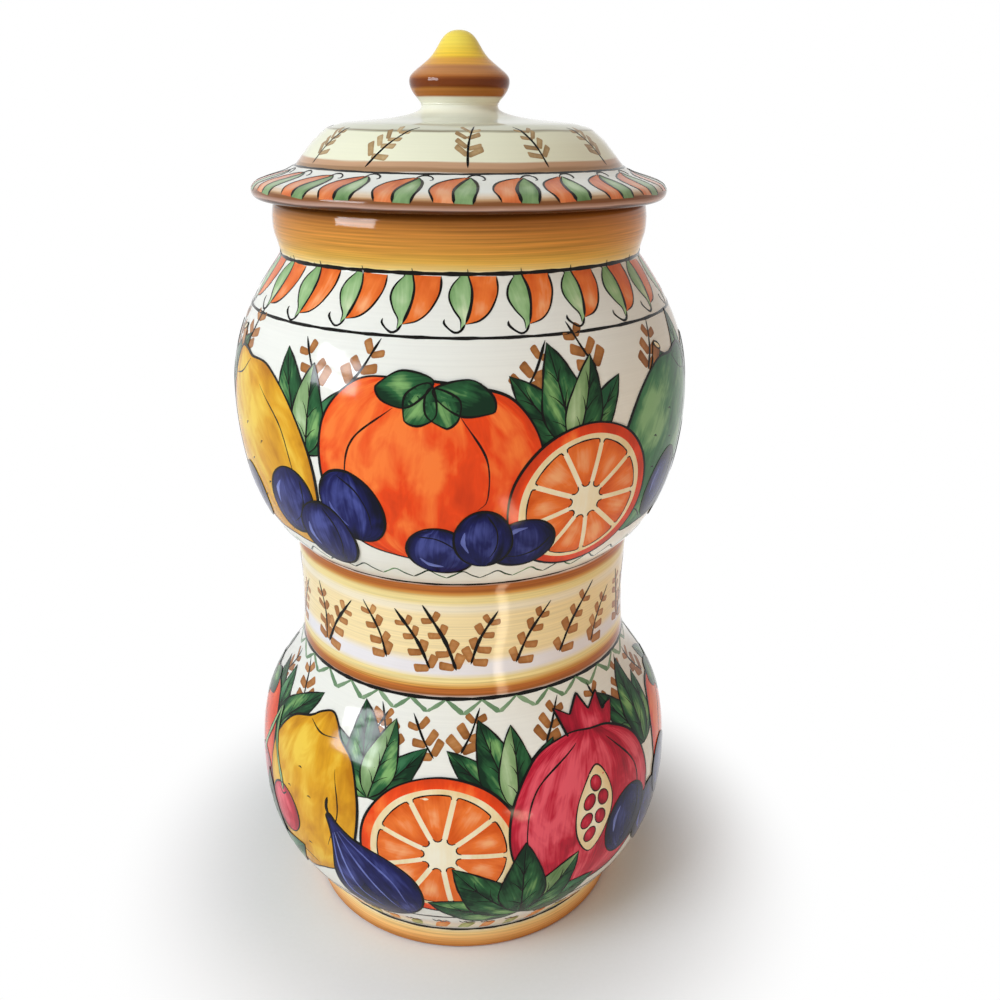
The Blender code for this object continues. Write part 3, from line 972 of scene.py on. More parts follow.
def orange_half(art, spot, wide=46.0, wedges=9):
    """A cut orange: rind, pith and wedges."""
    art.outlined("orange", oval(wide, wide * 0.97, wobble=0.01, seed=5), spot)
    art.fill("pith", oval(wide * 0.87, wide * 0.84, wobble=0.01, seed=6), spot, detail=2, glow=(0, 0))
    for number in range(wedges):
        angle = 360 * number / wedges + 8
        corners = []
        for reach, shares in ((0.10, (-1, 1)), (0.39, (1, 0.5, 0, -0.5, -1))):
            half = 180 / wedges - math.degrees(0.016 / reach)
            corners += [turn_flat((0, reach * wide), angle + half * share) for share in shares]
        wedge = blunt(corners, 0.8)
        art.fill("tangerine", wedge, spot, detail=4, grain=angle, glow=(0, 0))
        art.line("ink", wedge, 0.42, spot, detail=5, closed=True)


def pomegranate(art, spot, wide=58.0):
    """A round fruit with its crown, and a split that shows the seeds."""
    crown = [
        (0.14, 0.42), (0.21, 0.58), (0.12, 0.54), (0.10, 0.65), (0.02, 0.56), (-0.05, 0.66), (-0.11, 0.55),
        (-0.21, 0.60), (-0.14, 0.42),
    ]
    art.outlined("crimson", blunt(np.array(crown) * wide, 0.6), spot, 0.65)
    half = [
        (0.0, 0.46), (0.16, 0.45), (0.36, 0.34), (0.49, 0.08), (0.46, -0.2), (0.28, -0.42), (0.0, -0.49),
    ]
    spot = spot.over(1)
    art.outlined("crimson", mirrored(half, wide), spot, domed=True)
    for bow in (-0.36, 0.34):
        crease = np.array([(bow * 0.3, 0.40), (bow, 0.18), (bow * 1.1, -0.08), (bow * 0.85, -0.32)])
        art.stroke(crease * wide, 0.6, spot, taper=(0.1, 0.6))
    split = [(-0.11, 0.08), (-0.09, -0.12), (0.03, -0.24), (0.13, -0.06), (0.12, 0.12), (0.0, 0.27)]
    split = through(np.array(split) * wide, closed=True)
    art.fill("pith", split, spot, detail=2, glow=(0, 0))
    art.line("ink", split, 0.55, spot, closed=True)
    seats = [(0.0, 0.17), (-0.035, 0.07), (0.06, 0.08), (-0.04, -0.04), (0.055, -0.03), (0.0, -0.13)]
    for row, (x, y) in enumerate(seats):
        seed = oval(0.075 * wide, 0.095 * wide, (x * wide, y * wide), lean=25 * (-1) ** row, knots=8)
        art.fill("crimson", seed, spot, detail=4, glow=(-0.2, 0.2))
        art.line("ink", seed, 0.4, spot, detail=5, closed=True)


def fig(art, spot, tall=50.0, wide=36.0):
    """A ripe fig with pale ribs."""
    half = [
        (0.03, 0.5), (0.07, 0.40), (0.17, 0.26), (0.40, 0.04), (0.5, -0.18), (0.40, -0.38), (0.16, -0.49),
    ]
    size = np.array((wide, tall))
    art.outlined("indigo", mirrored(half, size), spot, domed=True)
    for bow in (-0.62, -0.34, 0.05, 0.42):
        rib = [(bow * 0.1, 0.36), (bow * 0.45, 0.08), (bow * 0.62, -0.16), (bow * 0.4, -0.40)]
        art.stroke(rib * size, 0.9, spot, "sky", detail=2, taper=(0.5, 0.6))
    art.stroke([(0, 0.47 * tall), (0.03 * wide, 0.56 * tall), (0.10 * wide, 0.62 * tall)], 1.5, spot)


def plums(art, spot, wide=22.0, seats=((0, 0, 8), (-18, 8, -24), (15, 11, 30))):
    """Plums one before another, each with its seam and a pale bloom."""
    for number, (x, y, lean) in enumerate(seats):
        here = spot.over(number)
        skin = oval(wide, wide * 1.22, (x, y), lean=lean, wobble=0.015, seed=11 + number)
        art.outlined("indigo", skin, here, domed=True)
        seam = np.array([(0.10, 0.52), (0.24, 0.2), (0.22, -0.15), (0.08, -0.42)])
        art.stroke(turn_flat(seam * wide, lean) + (x, y), 0.6, here, taper=(0.1, 0.6))
        bloom = np.array([(-0.30, 0.22), (-0.34, 0.0), (-0.26, -0.24)])
        art.stroke(turn_flat(bloom * wide, lean) + (x, y), 1.5, here, "sky", detail=2, taper=(0.5, 0.5))


def cherries(art, spot, wide=20.0):
    """Two cherries on their stalks."""
    for number, (x, y) in enumerate(((-12, -30), (9, -36))):
        here = spot.over(number)
        skin = oval(wide, wide * 0.96, (x, y), wobble=0.015, seed=21 + number)
        art.outlined("crimson", skin, here, 0.65, domed=True)
        stem = [(0, 0), (x * 0.35, y * 0.35), (x * 0.9, y * 0.75 + 3), (x, y + wide * 0.34)]
        art.stroke(stem, 2.2, here, detail=1, taper=(0.05, 0.05))
        art.stroke(stem, 1.1, here, "sage", taper=(0.05, 0.05))
        dip = [(x - 2.8, y + wide * 0.36), (x, y + wide * 0.27), (x + 3.0, y + wide * 0.37)]
        art.stroke(dip, 0.7, here, detail=4)


def spray(art, turn, rise, leans, coat=1, tall=33.0, wide=14.0):
    """A few leaves from one point, each over the last."""
    for number, lean in enumerate(leans):
        size = (0.96, 0.84, 1.04, 0.9, 1.0)[number % 5]
        light = ("leaf", "jade", "leaf", "fern")[number % 4]
        spot = Spot(turn, rise, lean, size, coat + number, flip=number % 2 == 1)
        leaf(art, spot, tall, wide, light)


def wheat_ears(art, turn, rise, leans):
    """Wheat sprigs side by side, as they stand between the fruit."""
    for number, lean in enumerate(leans):
        spot = Spot(turn + 8.5 * number, rise + 2 * (number % 2), -lean)
        sprig(art, spot, 3, 17, math.copysign(1.6, lean), 0.8, (5.8, 3.3), "oxide", 0.66)


def place_fruit(art, rows):
    """Fruit in the order in which it is painted, from rows of its motif and its spot."""
    for motif, *place in rows:
        motif(art, Spot(*place))


def upper_picture(art):
    """Fruit round the upper belly; rises are millimetres of wall above the zigzag."""
    for row in (
        (-73, 69, (-18, 12)), (-33, 66, (-24, 24)), (14, 67, (22,)), (31, 72, (-20,)), (49, 68, (18,)),
        (103, 67, (-14, 20)), (150, 67, (-20, 16)), (-172, 68, (20,)), (-134, 67, (-18, 18)),
        (-106, 70, (16,)),
    ):
        wheat_ears(art, *row)
    for row in (
        (-79, 50, (48, 4, -34)), (-37, 44, (52, -38, 20, -10)), (25, 48, (44, -44, 16, -18)),
        (68, 50, (46, -36, 4)), (112, 48, (28, -30)), (150, 46, (36, -8, -48)), (-170, 46, (30, -26)),
        (-140, 48, (24, -34, -4)), (-108, 46, (36, -14)),
    ):
        spray(art, *row)
    place_fruit(art, (
        (pomegranate, -95, 37, 12, 1.06, 5), (stalk, -66, 66, 28, 1, 4), (lemon, -55, 40, 28, 1.2, 5),
        (persimmon, -8, 41, -6, 1.2, 5), (orange_half, 29, 30, 0, 1.16, 7), (stalk, 49, 64, -34, 1, 5),
    ))
    lemon(art, Spot(57, 42, -28, 1.18, 6), tall=58, paint="jade")
    fig(art, Spot(87, 38, 16, 1.1, 5))
    plums(art, Spot(-35, 19, 0, 0.98, 7), seats=((-14, 6, -24), (13, 10, 30), (0, -4, 6)))
    plums(art, Spot(4, 14, 0, 0.84, 8), seats=((-15, 0, 58), (16, 3, -66), (1, 6, 4)))
    place_fruit(art, (
        (plums, 71, 18, 0, 0.95, 7), (persimmon, 126, 38, 10, 1.12, 6), (plums, 104, 18, 0, 0.95, 7),
        (lemon, 170, 39, 34, 1.14, 5), (orange_half, 150, 28, 0, 0.98, 8),
        (pomegranate, -151, 37, -8, 1.06, 6), (plums, -173, 18, 0, 0.95, 9),
        (fig, -122, 37, -14, 1.08, 8),
    ))
    plums(art, Spot(-76, 16, 0, 0.85, 8), seats=((0, 0, 40), (16, 5, -30)))


def lower_picture(art):
    """Fruit round the lower belly; rises are millimetres of wall above the middle of the foot border."""
    for row in (
        (-78, 77, (14,)), (-58, 80, (-20,)), (-30, 76, (22, -16)), (-9, 77, (-24, 18)), (24, 79, (24,)),
        (48, 78, (-16, 20)), (76, 78, (-18,)), (106, 78, (18, -14)), (140, 78, (16,)),
        (172, 78, (-20, 14)), (-150, 78, (16,)), (-118, 78, (-14, 18)),
    ):
        wheat_ears(art, *row)
    for row in (
        (-66, 60, (44, 10, -30)), (-25, 60, (50, -46, 18, -14)), (13, 58, (50, -40, 22, -6)),
        (58, 60, (30, -34, -4)), (98, 60, (40, -10)), (136, 60, (30, -30, 2)), (178, 60, (34, -14)),
        (-136, 60, (28, -32, 0)), (-100, 60, (36, -18)),
    ):
        spray(art, *row)
    place_fruit(art, (
        (persimmon, -86, 47, 8, 1.1, 5), (cherries, -65, 73, 6, 1.05, 7), (lemon, -46, 49, -6, 1.18, 6),
        (orange_half, -6, 42, 0, 1.3, 7), (fig, -27, 27, 34, 1.0, 8), (pomegranate, 34, 48, -10, 1.16, 7),
    ))
    spray(art, 15, 7, (76, -74, 46, -42, 4), coat=9, tall=38, wide=17)
    place_fruit(art, ((plums, 60, 28, 0, 1.05, 9), (persimmon, 86, 47, -8, 1.1, 5)))
    spray(art, -65, 7, (60, -58, 8), coat=9, tall=36, wide=16)
    place_fruit(art, (
        (lemon, 122, 47, 30, 1.14, 6), (fig, 105, 28, -20, 1.0, 8), (orange_half, 156, 43, 0, 1.2, 5),
        (plums, 138, 22, 0, 1.0, 8), (pomegranate, -164, 48, 10, 1.14, 6), (plums, 178, 22, 0, 0.95, 8),
    ))
    lemon(art, Spot(-121, 47, 24, 1.14, 6), paint="jade")
    fig(art, Spot(-143, 28, 16, 1.0, 8))
    spray(art, -104, 7, (64, -62, 30, -26), coat=8, tall=36, wide=16)


# Building

# Paints by name, and profiles by body
PAINTS = {}
PROFILES = {}


def border_turns(total):
    """The turns in degrees of a border's hand-drawn kinds, which it then repeats to its total."""
    return [number * (360 / total) for number in range(KINDS)]


def half_tooth(height, teeth):
    """Half the width in millimetres of one of a border's teeth, at a height in millimetres."""
    return math.pi * PROFILES["jar"].radius_at(height * MM) / MM / teeth


def hand_spot(art, turn, drift, tilt, growth, size=1.0):
    """A spot a little off its mark, as by hand: drift and tilt in degrees."""
    chance = art.chance.uniform
    return Spot(turn + chance(-drift, drift), 0.0, chance(-tilt, tilt), size + chance(-growth, growth))


def outline_mesh(name, outline):
    """A mesh of one line, which stands for a turned outline."""
    mesh = bpy.data.meshes.new(name)
    edges = [(k, k + 1) for k in range(len(outline) - 1)]
    mesh.from_pydata([(radius, 0.0, height) for radius, height in outline], edges, [])
    return mesh


def turned_piece(name, node, glaze, body, hidden_glaze=None, hidden_below=0.0):
    """A piece of ware turned from its CAD node's outline, which it stands for.

    Its inside has the hidden glaze, and so has all within the mouth's width under hidden_below.
    """
    ware = bpy.context.scene.jar_ware
    outline, is_ring = outline_of(node)
    outline = rounded(outline, is_ring, ware.outline_step, ware.crease_round)
    if is_ring:
        outline = np.vstack([outline, outline[:1]])
    piece = run_tree(name, outline_mesh(name, outline), turning_tree(), glaze, Segments=ware.segments)
    builder = bmesh.new()
    builder.from_mesh(piece.data)
    bmesh.ops.recalc_face_normals(builder, faces=builder.faces[:])
    if hidden_glaze:
        # A face is inside if it looks towards the axis, or down within the mouth's width
        for face in builder.faces:
            middle, normal = face.calc_center_median(), face.normal
            inward = middle.x * normal.x + middle.y * normal.y < -0.2 * middle.xy.length
            beneath = middle.xy.length < MOUTH and (middle.z < hidden_below or normal.z < -0.9)
            face.material_index = int(inward or beneath)
    builder.to_mesh(piece.data)
    builder.free()
    if hidden_glaze:
        piece.data.materials.append(hidden_glaze)
    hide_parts(node)
    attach(piece, body)
    return outline


def lay_on(name, art, body, height, copies=1, turn=0.0, lean=0.0, spread=0.0, seed=1):
    """Wraps artwork on a body's profile from a height, one piece for each paint that rides there.

    turn is how far the first copy stands from the front, in degrees.
    """
    tree = bpy.data.node_groups.get("painted_border") or painting_tree()
    profile = PROFILES[body]
    for paint, mesh in sorted(art.meshes().items()):
        piece = run_tree(
            f"{name}_{paint}", mesh, tree, PAINTS[paint], Profile=profile.curve, Copies=copies,
            First_Turn=FRONT + math.radians(turn), Base=profile.arc_at(height), Lean=lean, Spread=spread,
            Seed=seed,
        )
        piece.data.set_sharp_from_angle(angle=math.radians(40))
        for layer in ("turn", "place"):
            piece.data.attributes.remove(piece.data.attributes[layer])
        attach(piece, body)


class JAR_OT_vessel(bpy.types.Operator):
    """Turn the jar itself and glaze it"""

    bl_idname = "jar.vessel"
    bl_label = "Vessel"

    def execute(self, context):
        ware = context.scene.jar_ware
        white, brown, ochre, straw = ware.ground, ware.brown, ware.ochre, ware.straw
        amber, cream, pale, lilac = "#DDA650", "#F9E2AC", "#F8EACB", "#EFEAEA"
        bands = [
            (0.0, "#A4622C"), (1.4, "#C47C3A"), (3.2, "#E4A058"), (5.6, "#FAC47A"), (8.2, "#FFDE98"),
            (9.9, white), (113.5, white), (113.9, "#8A5226"), (115.4, brown), (117.2, brown),
            (118.1, amber), (120.0, straw), (121.6, straw), (122.7, lilac), (127.0, lilac),
            (129.4, cream), (145.6, cream), (147.0, pale), (149.0, pale), (150.4, straw),
            # The pale band from 147 to 149 mm is a painted highlight: a soft reflection across the upper
            # collar
            (152.4, straw), (153.4, amber), (154.6, brown), (157.1, brown), (157.5, white),
            (259.7, white), (260.1, "#F8DC8C"), (263.0, "#DFAE4A"), (266.5, ochre), (270.5, "#D08A3A"),
            # The rim browns towards its top as its paint does; the darkest brown at the very top is partly
            # painted shade under the lid's lip
            (274.2, "#BE7830"), (277.0, "#7A481E"),
        ]
        glaze = glazed("tin_glazed_earthenware", banded(bands, (0.0, 277.0), 0.21), 0.07)
        lining = clear_glaze("clear_glazed_lining", white)
        outline = turned_piece("vessel", "jar_body", glaze, "jar", lining, OVER_FLOOR)
        foot_width = outline[outline[:, 1] < MM][:, 0].max()
        foot = int(np.argmax(outline[:, 0] > foot_width - 0.05 * MM))
        top = int(np.argmax(outline[:, 1]))
        PROFILES["jar"] = Profile("jar_profile", climbing(outline, foot, top))
        return {"FINISHED"}


class JAR_OT_lid(bpy.types.Operator):
    """Turn the lid, with its brim and dome"""

    bl_idname = "jar.lid"
    bl_label = "Lid"

    def execute(self, context):
        ware = context.scene.jar_ware
        white, dome = ware.ground, ware.dome
        rose, tan, lip, dark = "#CBA07C", "#A9825E", "#86542F", "#54301C"
        bands = [
            # The dark brown at the lip's foot, which also covers the brim's underside beyond the mouth, is
            # painted shadow where the lip overhangs the rim; the pale pinkish strip at 278.8 mm is a painted
            # reflection of the pale floor in the lip's glaze
            (277.3, dark), (278.2, dark), (278.8, "#C8A494"), (279.5, "#A87C64"), (280.1, lip),
            (280.8, lip), (281.4, "#C09468"), (282.3, "#E4CDB0"), (283.6, white), (287.7, white),
            (288.2, tan), (289.1, tan), (289.6, rose), (290.7, rose), (291.2, dome), (299.0, dome),
            # Over the thin olive shoulder line the flare is greyer up to about 303 mm, painted shade in its
            # hollow, and lightens towards the knob
            (299.4, "#8E8468"), (299.9, "#E2E0C6"), (302.6, "#DCDEC6"), (304.6, "#F2F0DA"),
            (307.0, "#F6F3E0"),
        ]
        glaze = glazed("sage_glazed_earthenware", banded(bands, (277.3, 307.2), 0.06), 0.07)
        underside = clear_glaze("clear_glazed_underside", white)
        under_lip = LIP_FOOT - 0.2 * MM
        outline = turned_piece("lid_cover", "lid", glaze, "lid", underside, under_lip)
        top = int(np.argmax(outline[:, 1]))
        foot = top + int(np.argmax(outline[top:, 1] < LIP_FOOT + 0.1 * MM))
        neck = top + int(np.argmax(outline[top:, 0] > LID_NECK))
        PROFILES["lid"] = Profile("lid_profile", climbing(outline, neck, foot))
        return {"FINISHED"}


class JAR_OT_knob(bpy.types.Operator):
    """Turn the pointed knob"""

    bl_idname = "jar.knob"
    bl_label = "Knob"

    def execute(self, context):
        brown, dark, tan = "#B0672C", "#7C3C14", "#C2824A"
        ochre, yellow, lemon_yellow, cream = "#E6A642", "#F8CC3C", "#FBE05A", "#F6F3E0"
        bands = [
            (302.5, cream), (309.0, cream), (309.6, brown), (311.6, "#C07C3A"), (312.4, dark),
            (314.6, dark), (315.4, "#A9622A"), (316.4, tan), (318.6, tan), (319.4, ochre),
            (320.8, ochre), (321.8, yellow), (326.0, lemon_yellow), (330.0, lemon_yellow),
        ]
        glaze = glazed("amber_glazed_earthenware", banded(bands, (302.5, 330.0), 0.09, 0.4), 0.07)
        turned_piece("knob_finial", "lid_knob", glaze, "lid")
        # A bead of glaze fills the joint between knob and neck
        radius, height, thickness, rise = 12.75 * MM, 307.2 * MM, 0.4 * MM, 0.55 * MM
        bead = [(radius + thickness * math.cos(angle), height + rise * math.sin(angle))
                for angle in np.linspace(0, TURN, 13)]
        mesh = outline_mesh("knob_bead", bead)
        piece = run_tree("knob_bead", mesh, turning_tree(), glaze, Segments=96)
        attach(piece, "lid")
        return {"FINISHED"}


class JAR_OT_seal(bpy.types.Operator):
    """Turn the silicone ring in the lid's groove"""

    bl_idname = "jar.seal"
    bl_label = "Seal"

    def execute(self, context):
        turned_piece("seal_ring", "lid_seal", silicone_material(), "lid")
        return {"FINISHED"}


def ring_line(art, profile, height, width):
    """A line drawn once round the ware, wavering a little, whose ends lap at the back."""
    waver, steps = 0.2, 150
    rise = profile.arc_at(height * MM) / MM
    around = TURN * (profile.radius_at(height * MM) / MM)
    chance = random.Random(int(height * 10))
    phases = [chance.uniform(0, TURN) for _ in range(3)]
    path = []
    for k in range(steps + 1):
        share = k / steps
        drift = sum(
            math.sin(TURN * (2 * n + 1) * share + phase) / (n + 1) for n, phase in enumerate(phases)
        )
        path.append((share * around, waver * drift))
    art.line("ink", np.array(path), width, Spot(180, rise), detail=2, taper=(0.001, 0.001), sway=0.18)


class JAR_OT_lines(bpy.types.Operator):
    """Draw the black lines round rim, creases and foot"""

    bl_idname = "jar.lines"
    bl_label = "Lines"

    def execute(self, context):
        # Heights and widths in millimetres
        rings = {
            "jar": ((259.7, 1.2), (243.0, 0.95), (158.2, 1.1), (113.4, 1.3), (26.5, 1.1), (9.7, 1.2)),
            "lid": ((287.8, 0.85),),
        }
        for name, body in (("jar_lines", "jar"), ("lid_line", "lid")):
            art = Artwork(context.scene.jar_paint)
            for height, width in rings[body]:
                ring_line(art, PROFILES[body], height, width)
            lay_on(name, art, body, PROFILES[body].rows[0][1])
        return {"FINISHED"}


class JAR_OT_garlands(bpy.types.Operator):
    """Paint the leaf pairs on the brim and under the neck"""

    bl_idname = "jar.garlands"
    bl_label = "Garlands"

    def execute(self, context):
        paint = context.scene.jar_paint
        shoulder, brim = Artwork(paint), Artwork(paint, grid=0.7)
        for turn in border_turns(paint.shoulder_pairs):
            shoulder_pair(shoulder, hand_spot(shoulder, turn, 0.7, 3, 0.04))
        for turn in border_turns(paint.brim_pairs):
            brim_pair(brim, hand_spot(brim, turn, 0.7, 4, 0.03, size=1.09))
        lay_on("shoulder_garland", shoulder, "jar", 258.9 * MM, paint.shoulder_pairs // KINDS,
               turn=2, lean=0.03, spread=0.012, seed=4)
        lay_on("brim_garland", brim, "lid", 281.0 * MM, paint.brim_pairs // KINDS,
               turn=-1.5, lean=0.03, spread=0.012, seed=9)
        return {"FINISHED"}


class JAR_OT_sprigs(bpy.types.Operator):
    """Paint the wheat sprigs on dome and collar"""

    bl_idname = "jar.sprigs"
    bl_label = "Sprigs"

    def execute(self, context):
        paint = context.scene.jar_paint
        dome, collar = Artwork(paint), Artwork(paint)
        # Turn and lean in degrees, height of the stem in millimetres
        for turn, lean, tall in (
            (-59.1, 23, 16), (-32.0, 39, 20), (1.4, 15, 18), (30.0, -19, 18), (59.3, -20, 17),
            (88.5, 17, 17),
        ):
            bow = math.copysign(1.8, -lean)
            marks = Spot(turn, 3.4, -lean)
            sprig(dome, marks, 4, 0.82 * tall, bow, 0.0, (4.9, 1.95), "tan", 0.72)
            sprig(dome, Spot(turn, 0, -lean), 0, tall, bow, 0.66)
        lay_on("dome_sprigs", dome, "lid", 289.5 * MM, paint.dome_repeats, lean=0.03, seed=3)
        # Turn, rise, lean, height and thickness of the stem
        for turn, rise, lean, tall, stem in (
            (-51.3, 0, -17, 22, 0.75), (-52.4, 0, 40, 25, 1.1), (-24.7, 2.6, -31, 22, 0.85),
            (-10.2, 0.5, -36, 25, 1.2), (-1.8, 0.3, -31, 27, 1.3), (0.4, 2.6, 33, 22, 1.05),
            (15.0, 1.8, 38, 25, 0.95), (30.8, 1.8, 40, 28, 1.05), (45.4, 0, 38, 21.5, 0.75),
        ):
            bow = math.copysign(3.0, -lean)
            sprig(collar, Spot(turn, rise, -lean), 4, tall, bow, stem)
        lay_on("collar_sprigs", collar, "jar", 125.0 * MM, paint.collar_repeats,
               lean=0.03, spread=0.01, seed=5)
        return {"FINISHED"}


class JAR_OT_zigzags(bpy.types.Operator):
    """Paint the zigzags beside the collar, and the marks over the foot"""

    bl_idname = "jar.zigzags"
    bl_label = "Zigzags"

    def execute(self, context):
        paint = context.scene.jar_paint
        low, high, marks = Artwork(paint), Artwork(paint), Artwork(paint)
        # Heights in millimetres: a border's teeth are as wide as fits half way up the border
        half = half_tooth(111.5, paint.zigzag_teeth)
        for turn in border_turns(paint.zigzag_teeth):
            spot, deep = hand_spot(low, turn, 0.3, 1.5, 0.02), low.chance.uniform(-5.2, -4.5)
            down = [(-half - 0.3, 0.3), (-0.5 * half, deep / 2), (0, deep)]
            up = [(-0.2, deep), (0.5 * half, deep / 2), (half + 0.4, 0.4)]
            low.stroke(down, 1.6, spot, "thread", detail=0, taper=(0.3, 0.05))
            low.stroke(up, 1.3, spot, "thread", detail=2, taper=(0.05, 0.4))
        lay_on("lower_zigzag", low, "jar", 113.0 * MM, paint.zigzag_teeth // KINDS)
        half = half_tooth(164.5, paint.small_teeth)
        for turn in border_turns(paint.small_teeth):
            rise = high.chance.uniform(4.2, 5.4)
            tooth = [(-half, 0), (-0.5 * half, rise * 0.55), (0, rise), (0.5 * half, rise * 0.45), (half, 0)]
            high.stroke(tooth, 0.6, Spot(turn), "leaf", detail=0, taper=(0.02, 0.02))
        lay_on("upper_zigzag", high, "jar", 162.5 * MM, paint.small_teeth // KINDS)
        for number, turn in enumerate(border_turns(paint.foot_marks)):
            spot = hand_spot(marks, turn, 0.8, 6, 0.08)
            dab = blunt([(-3.2, 2.5), (0.8, 3.2), (3.0, 12.0), (0.6, 15.0), (-2.2, 11.0)], 0.9)
            marks.fill("coral" if number % 2 else "fern", dab, spot, grain=-20)
            squiggle = [(-3.3, 15.6), (-2.0, 13.2), (-0.9, 15.0), (0.2, 12.6), (1.6, 14.6), (2.9, 12.9)]
            marks.stroke(squiggle, 0.8, spot, taper=(0.2, 0.2))
        lay_on("foot_marks", marks, "jar", 9.9 * MM, paint.foot_marks // KINDS)
        return {"FINISHED"}


class JAR_OT_pictures(bpy.types.Operator):
    """Paint the fruit on both bellies"""

    bl_idname = "jar.pictures"
    bl_label = "Pictures"

    def execute(self, context):
        for name, picture, base in (("upper", upper_picture, 162.7), ("lower", lower_picture, 21.8)):
            art = Artwork(context.scene.jar_paint)
            picture(art)
            lay_on(f"{name}_picture", art, "jar", base * MM)
        return {"FINISHED"}


def area_light(name, place, target, width, height, watts, colour):
    """A rectangular soft light that faces a point."""
    light = bpy.data.lights.new(name, "AREA")
    light.shape = "RECTANGLE"
    light.size, light.size_y = width, height
    light.energy = watts
    light.color = linear(colour)
    lamp = bpy.data.objects.new(name, light)
    lamp.location = place
    lamp.rotation_euler = (Vector(target) - Vector(place)).to_track_quat("-Z", "Y").to_euler()
    bpy.context.scene.collection.objects.link(lamp)
    return lamp


def make_camera(studio):
    """The camera at the photograph's own angle, turned as it was held."""
    data = bpy.data.cameras.new("camera")
    data.lens = studio.lens
    data.sensor_width = 36.0
    data.clip_start = 0.01
    camera = bpy.data.objects.new("camera", data)
    placed = Matrix.Translation((0.0, -studio.camera_distance, studio.camera_height))
    for angle, axis in ((-studio.yaw, "Z"), (math.pi / 2 - studio.pitch, "X"), (studio.roll, "Z")):
        placed = placed @ Matrix.Rotation(angle, 4, axis)
    camera.matrix_world = placed
    bpy.context.scene.collection.objects.link(camera)
    bpy.context.scene.camera = camera


def make_floor():
    """A pale seamless floor of matt paper, which keeps the shadow near the jar and fades to white."""
    material, tree, shader = new_material("matt_paper_sweep")
    place = add(tree, "ShaderNodeTexCoord").outputs["Object"]
    # The paper's tooth is about 1.5 mm wide
    tooth = add(tree, "ShaderNodeTexNoise", Vector=place, Scale=1 / (1.5 * MM), Detail=2.0)
    paper = add(tree, "ShaderNodeMix", data_type="RGBA", _0=tooth, _6=linear("#F4F4F2"),
                _7=linear("#EFEFEC"))
    plug(tree, shader["Base Color"], paper.outputs[2])
    shader["Roughness"].default_value = 0.9
    shader["Specular IOR Level"].default_value = 0.1
    # The paper fades out between 72 and 155 mm from the jar's axis
    far = add(tree, "ShaderNodeVectorMath", operation="LENGTH", Vector=place).outputs["Value"]
    fade = add(tree, "ShaderNodeMapRange", interpolation_type="SMOOTHSTEP", Value=far,
               From_Min=72 * MM, From_Max=155 * MM)
    path = add(tree, "ShaderNodeLightPath").outputs
    beyond = add(tree, "MAXIMUM", path["Is Glossy Ray"], path["Is Transmission Ray"])
    seen = add(tree, "MAXIMUM", path["Is Camera Ray"], beyond)
    white = add(tree, "ShaderNodeEmission", Color=(1, 1, 1, 1), Strength=1.0)
    surface = add(tree, "ShaderNodeMixShader", add(tree, "MULTIPLY", fade, seen),
                  tree.nodes["Principled BSDF"], white)
    plug(tree, tree.nodes["Material Output"].inputs["Surface"], surface)
    builder = bmesh.new()
    bmesh.ops.create_circle(builder, cap_ends=True, segments=96, radius=3.0)
    mesh = bpy.data.meshes.new("floor")
    builder.to_mesh(mesh)
    builder.free()
    mesh.materials.append(material)
    floor = bpy.data.objects.new("floor", mesh)
    bpy.context.scene.collection.objects.link(floor)


def make_room(studio):
    """The room: white to the camera and in reflections, and a soft even light on the jar."""
    world = bpy.data.worlds.new("room")
    world.use_nodes = True
    tree = world.node_tree
    path = add(tree, "ShaderNodeLightPath").outputs
    seen = add(tree, "MAXIMUM", path["Is Camera Ray"], path["Is Transmission Ray"])
    shown = add(tree, "MAXIMUM", seen, path["Is Glossy Ray"])
    background = tree.nodes["Background"].inputs
    background["Color"].default_value = (1, 1, 1, 1)
    strength = add(tree, "ShaderNodeMapRange", Value=shown, To_Min=studio.room, To_Max=1.0)
    plug(tree, background["Strength"], strength)
    bpy.context.scene.world = world


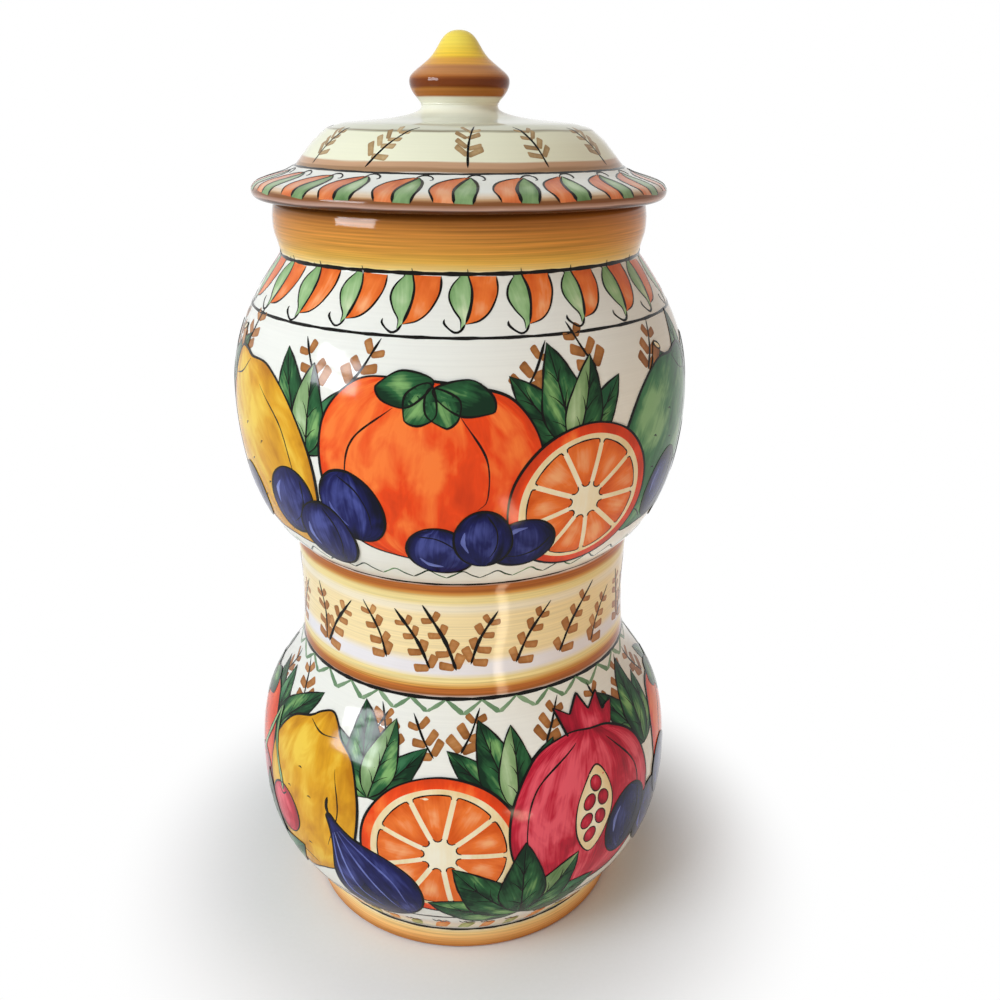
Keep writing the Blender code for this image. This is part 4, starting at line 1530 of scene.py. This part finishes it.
class JAR_OT_studio(bpy.types.Operator):
    """Set the camera, the floor and the lights"""

    bl_idname = "jar.studio"
    bl_label = "Studio"

    def execute(self, context):
        studio = context.scene.jar_studio
        make_camera(studio)
        make_floor()
        make_room(studio)
        # Four panes of a window on the left, which only the glaze mirrors
        for row, z in enumerate((0.40, 0.60)):
            for column, y in enumerate((-0.60, -0.34)):
                pane = area_light(f"window_{row}_{column}", (-0.88, y, z), (0, 0, 0.17), 0.23, 0.15,
                                  studio.window, "#F4F8FF")
                pane.visible_diffuse = False
        # A sunlit patch of the table, which shines straight up
        area_light("sunlit_table", (0.115, -0.28, 0.004), (0.115, -0.28, 1.0), 0.03, 0.11,
                   studio.glint, "#FFE8C4")
        # Place, aim, width, height, power and colour of the soft lamps, which the glaze doesn't mirror
        for name, *lamp in (
            ("table_bounce", (-0.36, -0.54, 0.03), (0, 0, 0.12), 0.5, 0.16, studio.bounce, "#FFF8F0"),
            ("day", (-0.74, -0.58, 0.80), (0, 0, 0.16), 0.55, 0.55, studio.day, "#ECF4FF"),
            ("warm_wall", (0.92, -0.25, 0.26), (0, 0, 0.2), 0.5, 0.34, studio.warm, "#FFC486"),
            ("overhead", (-0.35, -0.4, 1.15), (0, 0, 0.1), 0.8, 0.8, studio.overhead, "#FFFDF6"),
        ):
            area_light(name, *lamp).visible_glossy = False
        context.scene.view_settings.view_transform = "Standard"
        return {"FINISHED"}


class JAR_PT_panel(bpy.types.Panel):
    """Lists the jar's makers in the sidebar"""

    bl_idname = "JAR_PT_panel"
    bl_label = "Biscotti jar"
    bl_space_type = "VIEW_3D"
    bl_region_type = "UI"
    bl_category = "Jar"

    def draw(self, context):
        for operator in OPERATORS:
            self.layout.operator(operator.bl_idname)
        for group in (context.scene.jar_ware, context.scene.jar_paint, context.scene.jar_studio):
            box = self.layout.box()
            for name in group.__annotations__:
                box.prop(group, name)


SETTINGS = {"jar_ware": JarWareSettings, "jar_paint": JarPaintSettings, "jar_studio": JarStudioSettings}
OPERATORS = (
    JAR_OT_vessel, JAR_OT_lid, JAR_OT_knob, JAR_OT_seal, JAR_OT_lines, JAR_OT_garlands,
    JAR_OT_sprigs, JAR_OT_zigzags, JAR_OT_pictures, JAR_OT_studio,
)


def register():
    for kind in (*SETTINGS.values(), *OPERATORS, JAR_PT_panel):
        bpy.utils.register_class(kind)
    for name, kind in SETTINGS.items():
        setattr(bpy.types.Scene, name, PointerProperty(type=kind))


def unregister():
    for name in SETTINGS:
        delattr(bpy.types.Scene, name)
    for kind in (JAR_PT_panel, *reversed(OPERATORS), *reversed(SETTINGS.values())):
        bpy.utils.unregister_class(kind)


def main():
    register()
    PAINTS.update(paint_materials(bpy.context.scene.jar_paint))
    for operator in OPERATORS:
        group, name = operator.bl_idname.split(".")
        getattr(getattr(bpy.ops, group), name)()
    for profile in PROFILES.values():
        bpy.data.objects.remove(profile.curve, do_unlink=True)


if __name__ == "__main__":
    main()
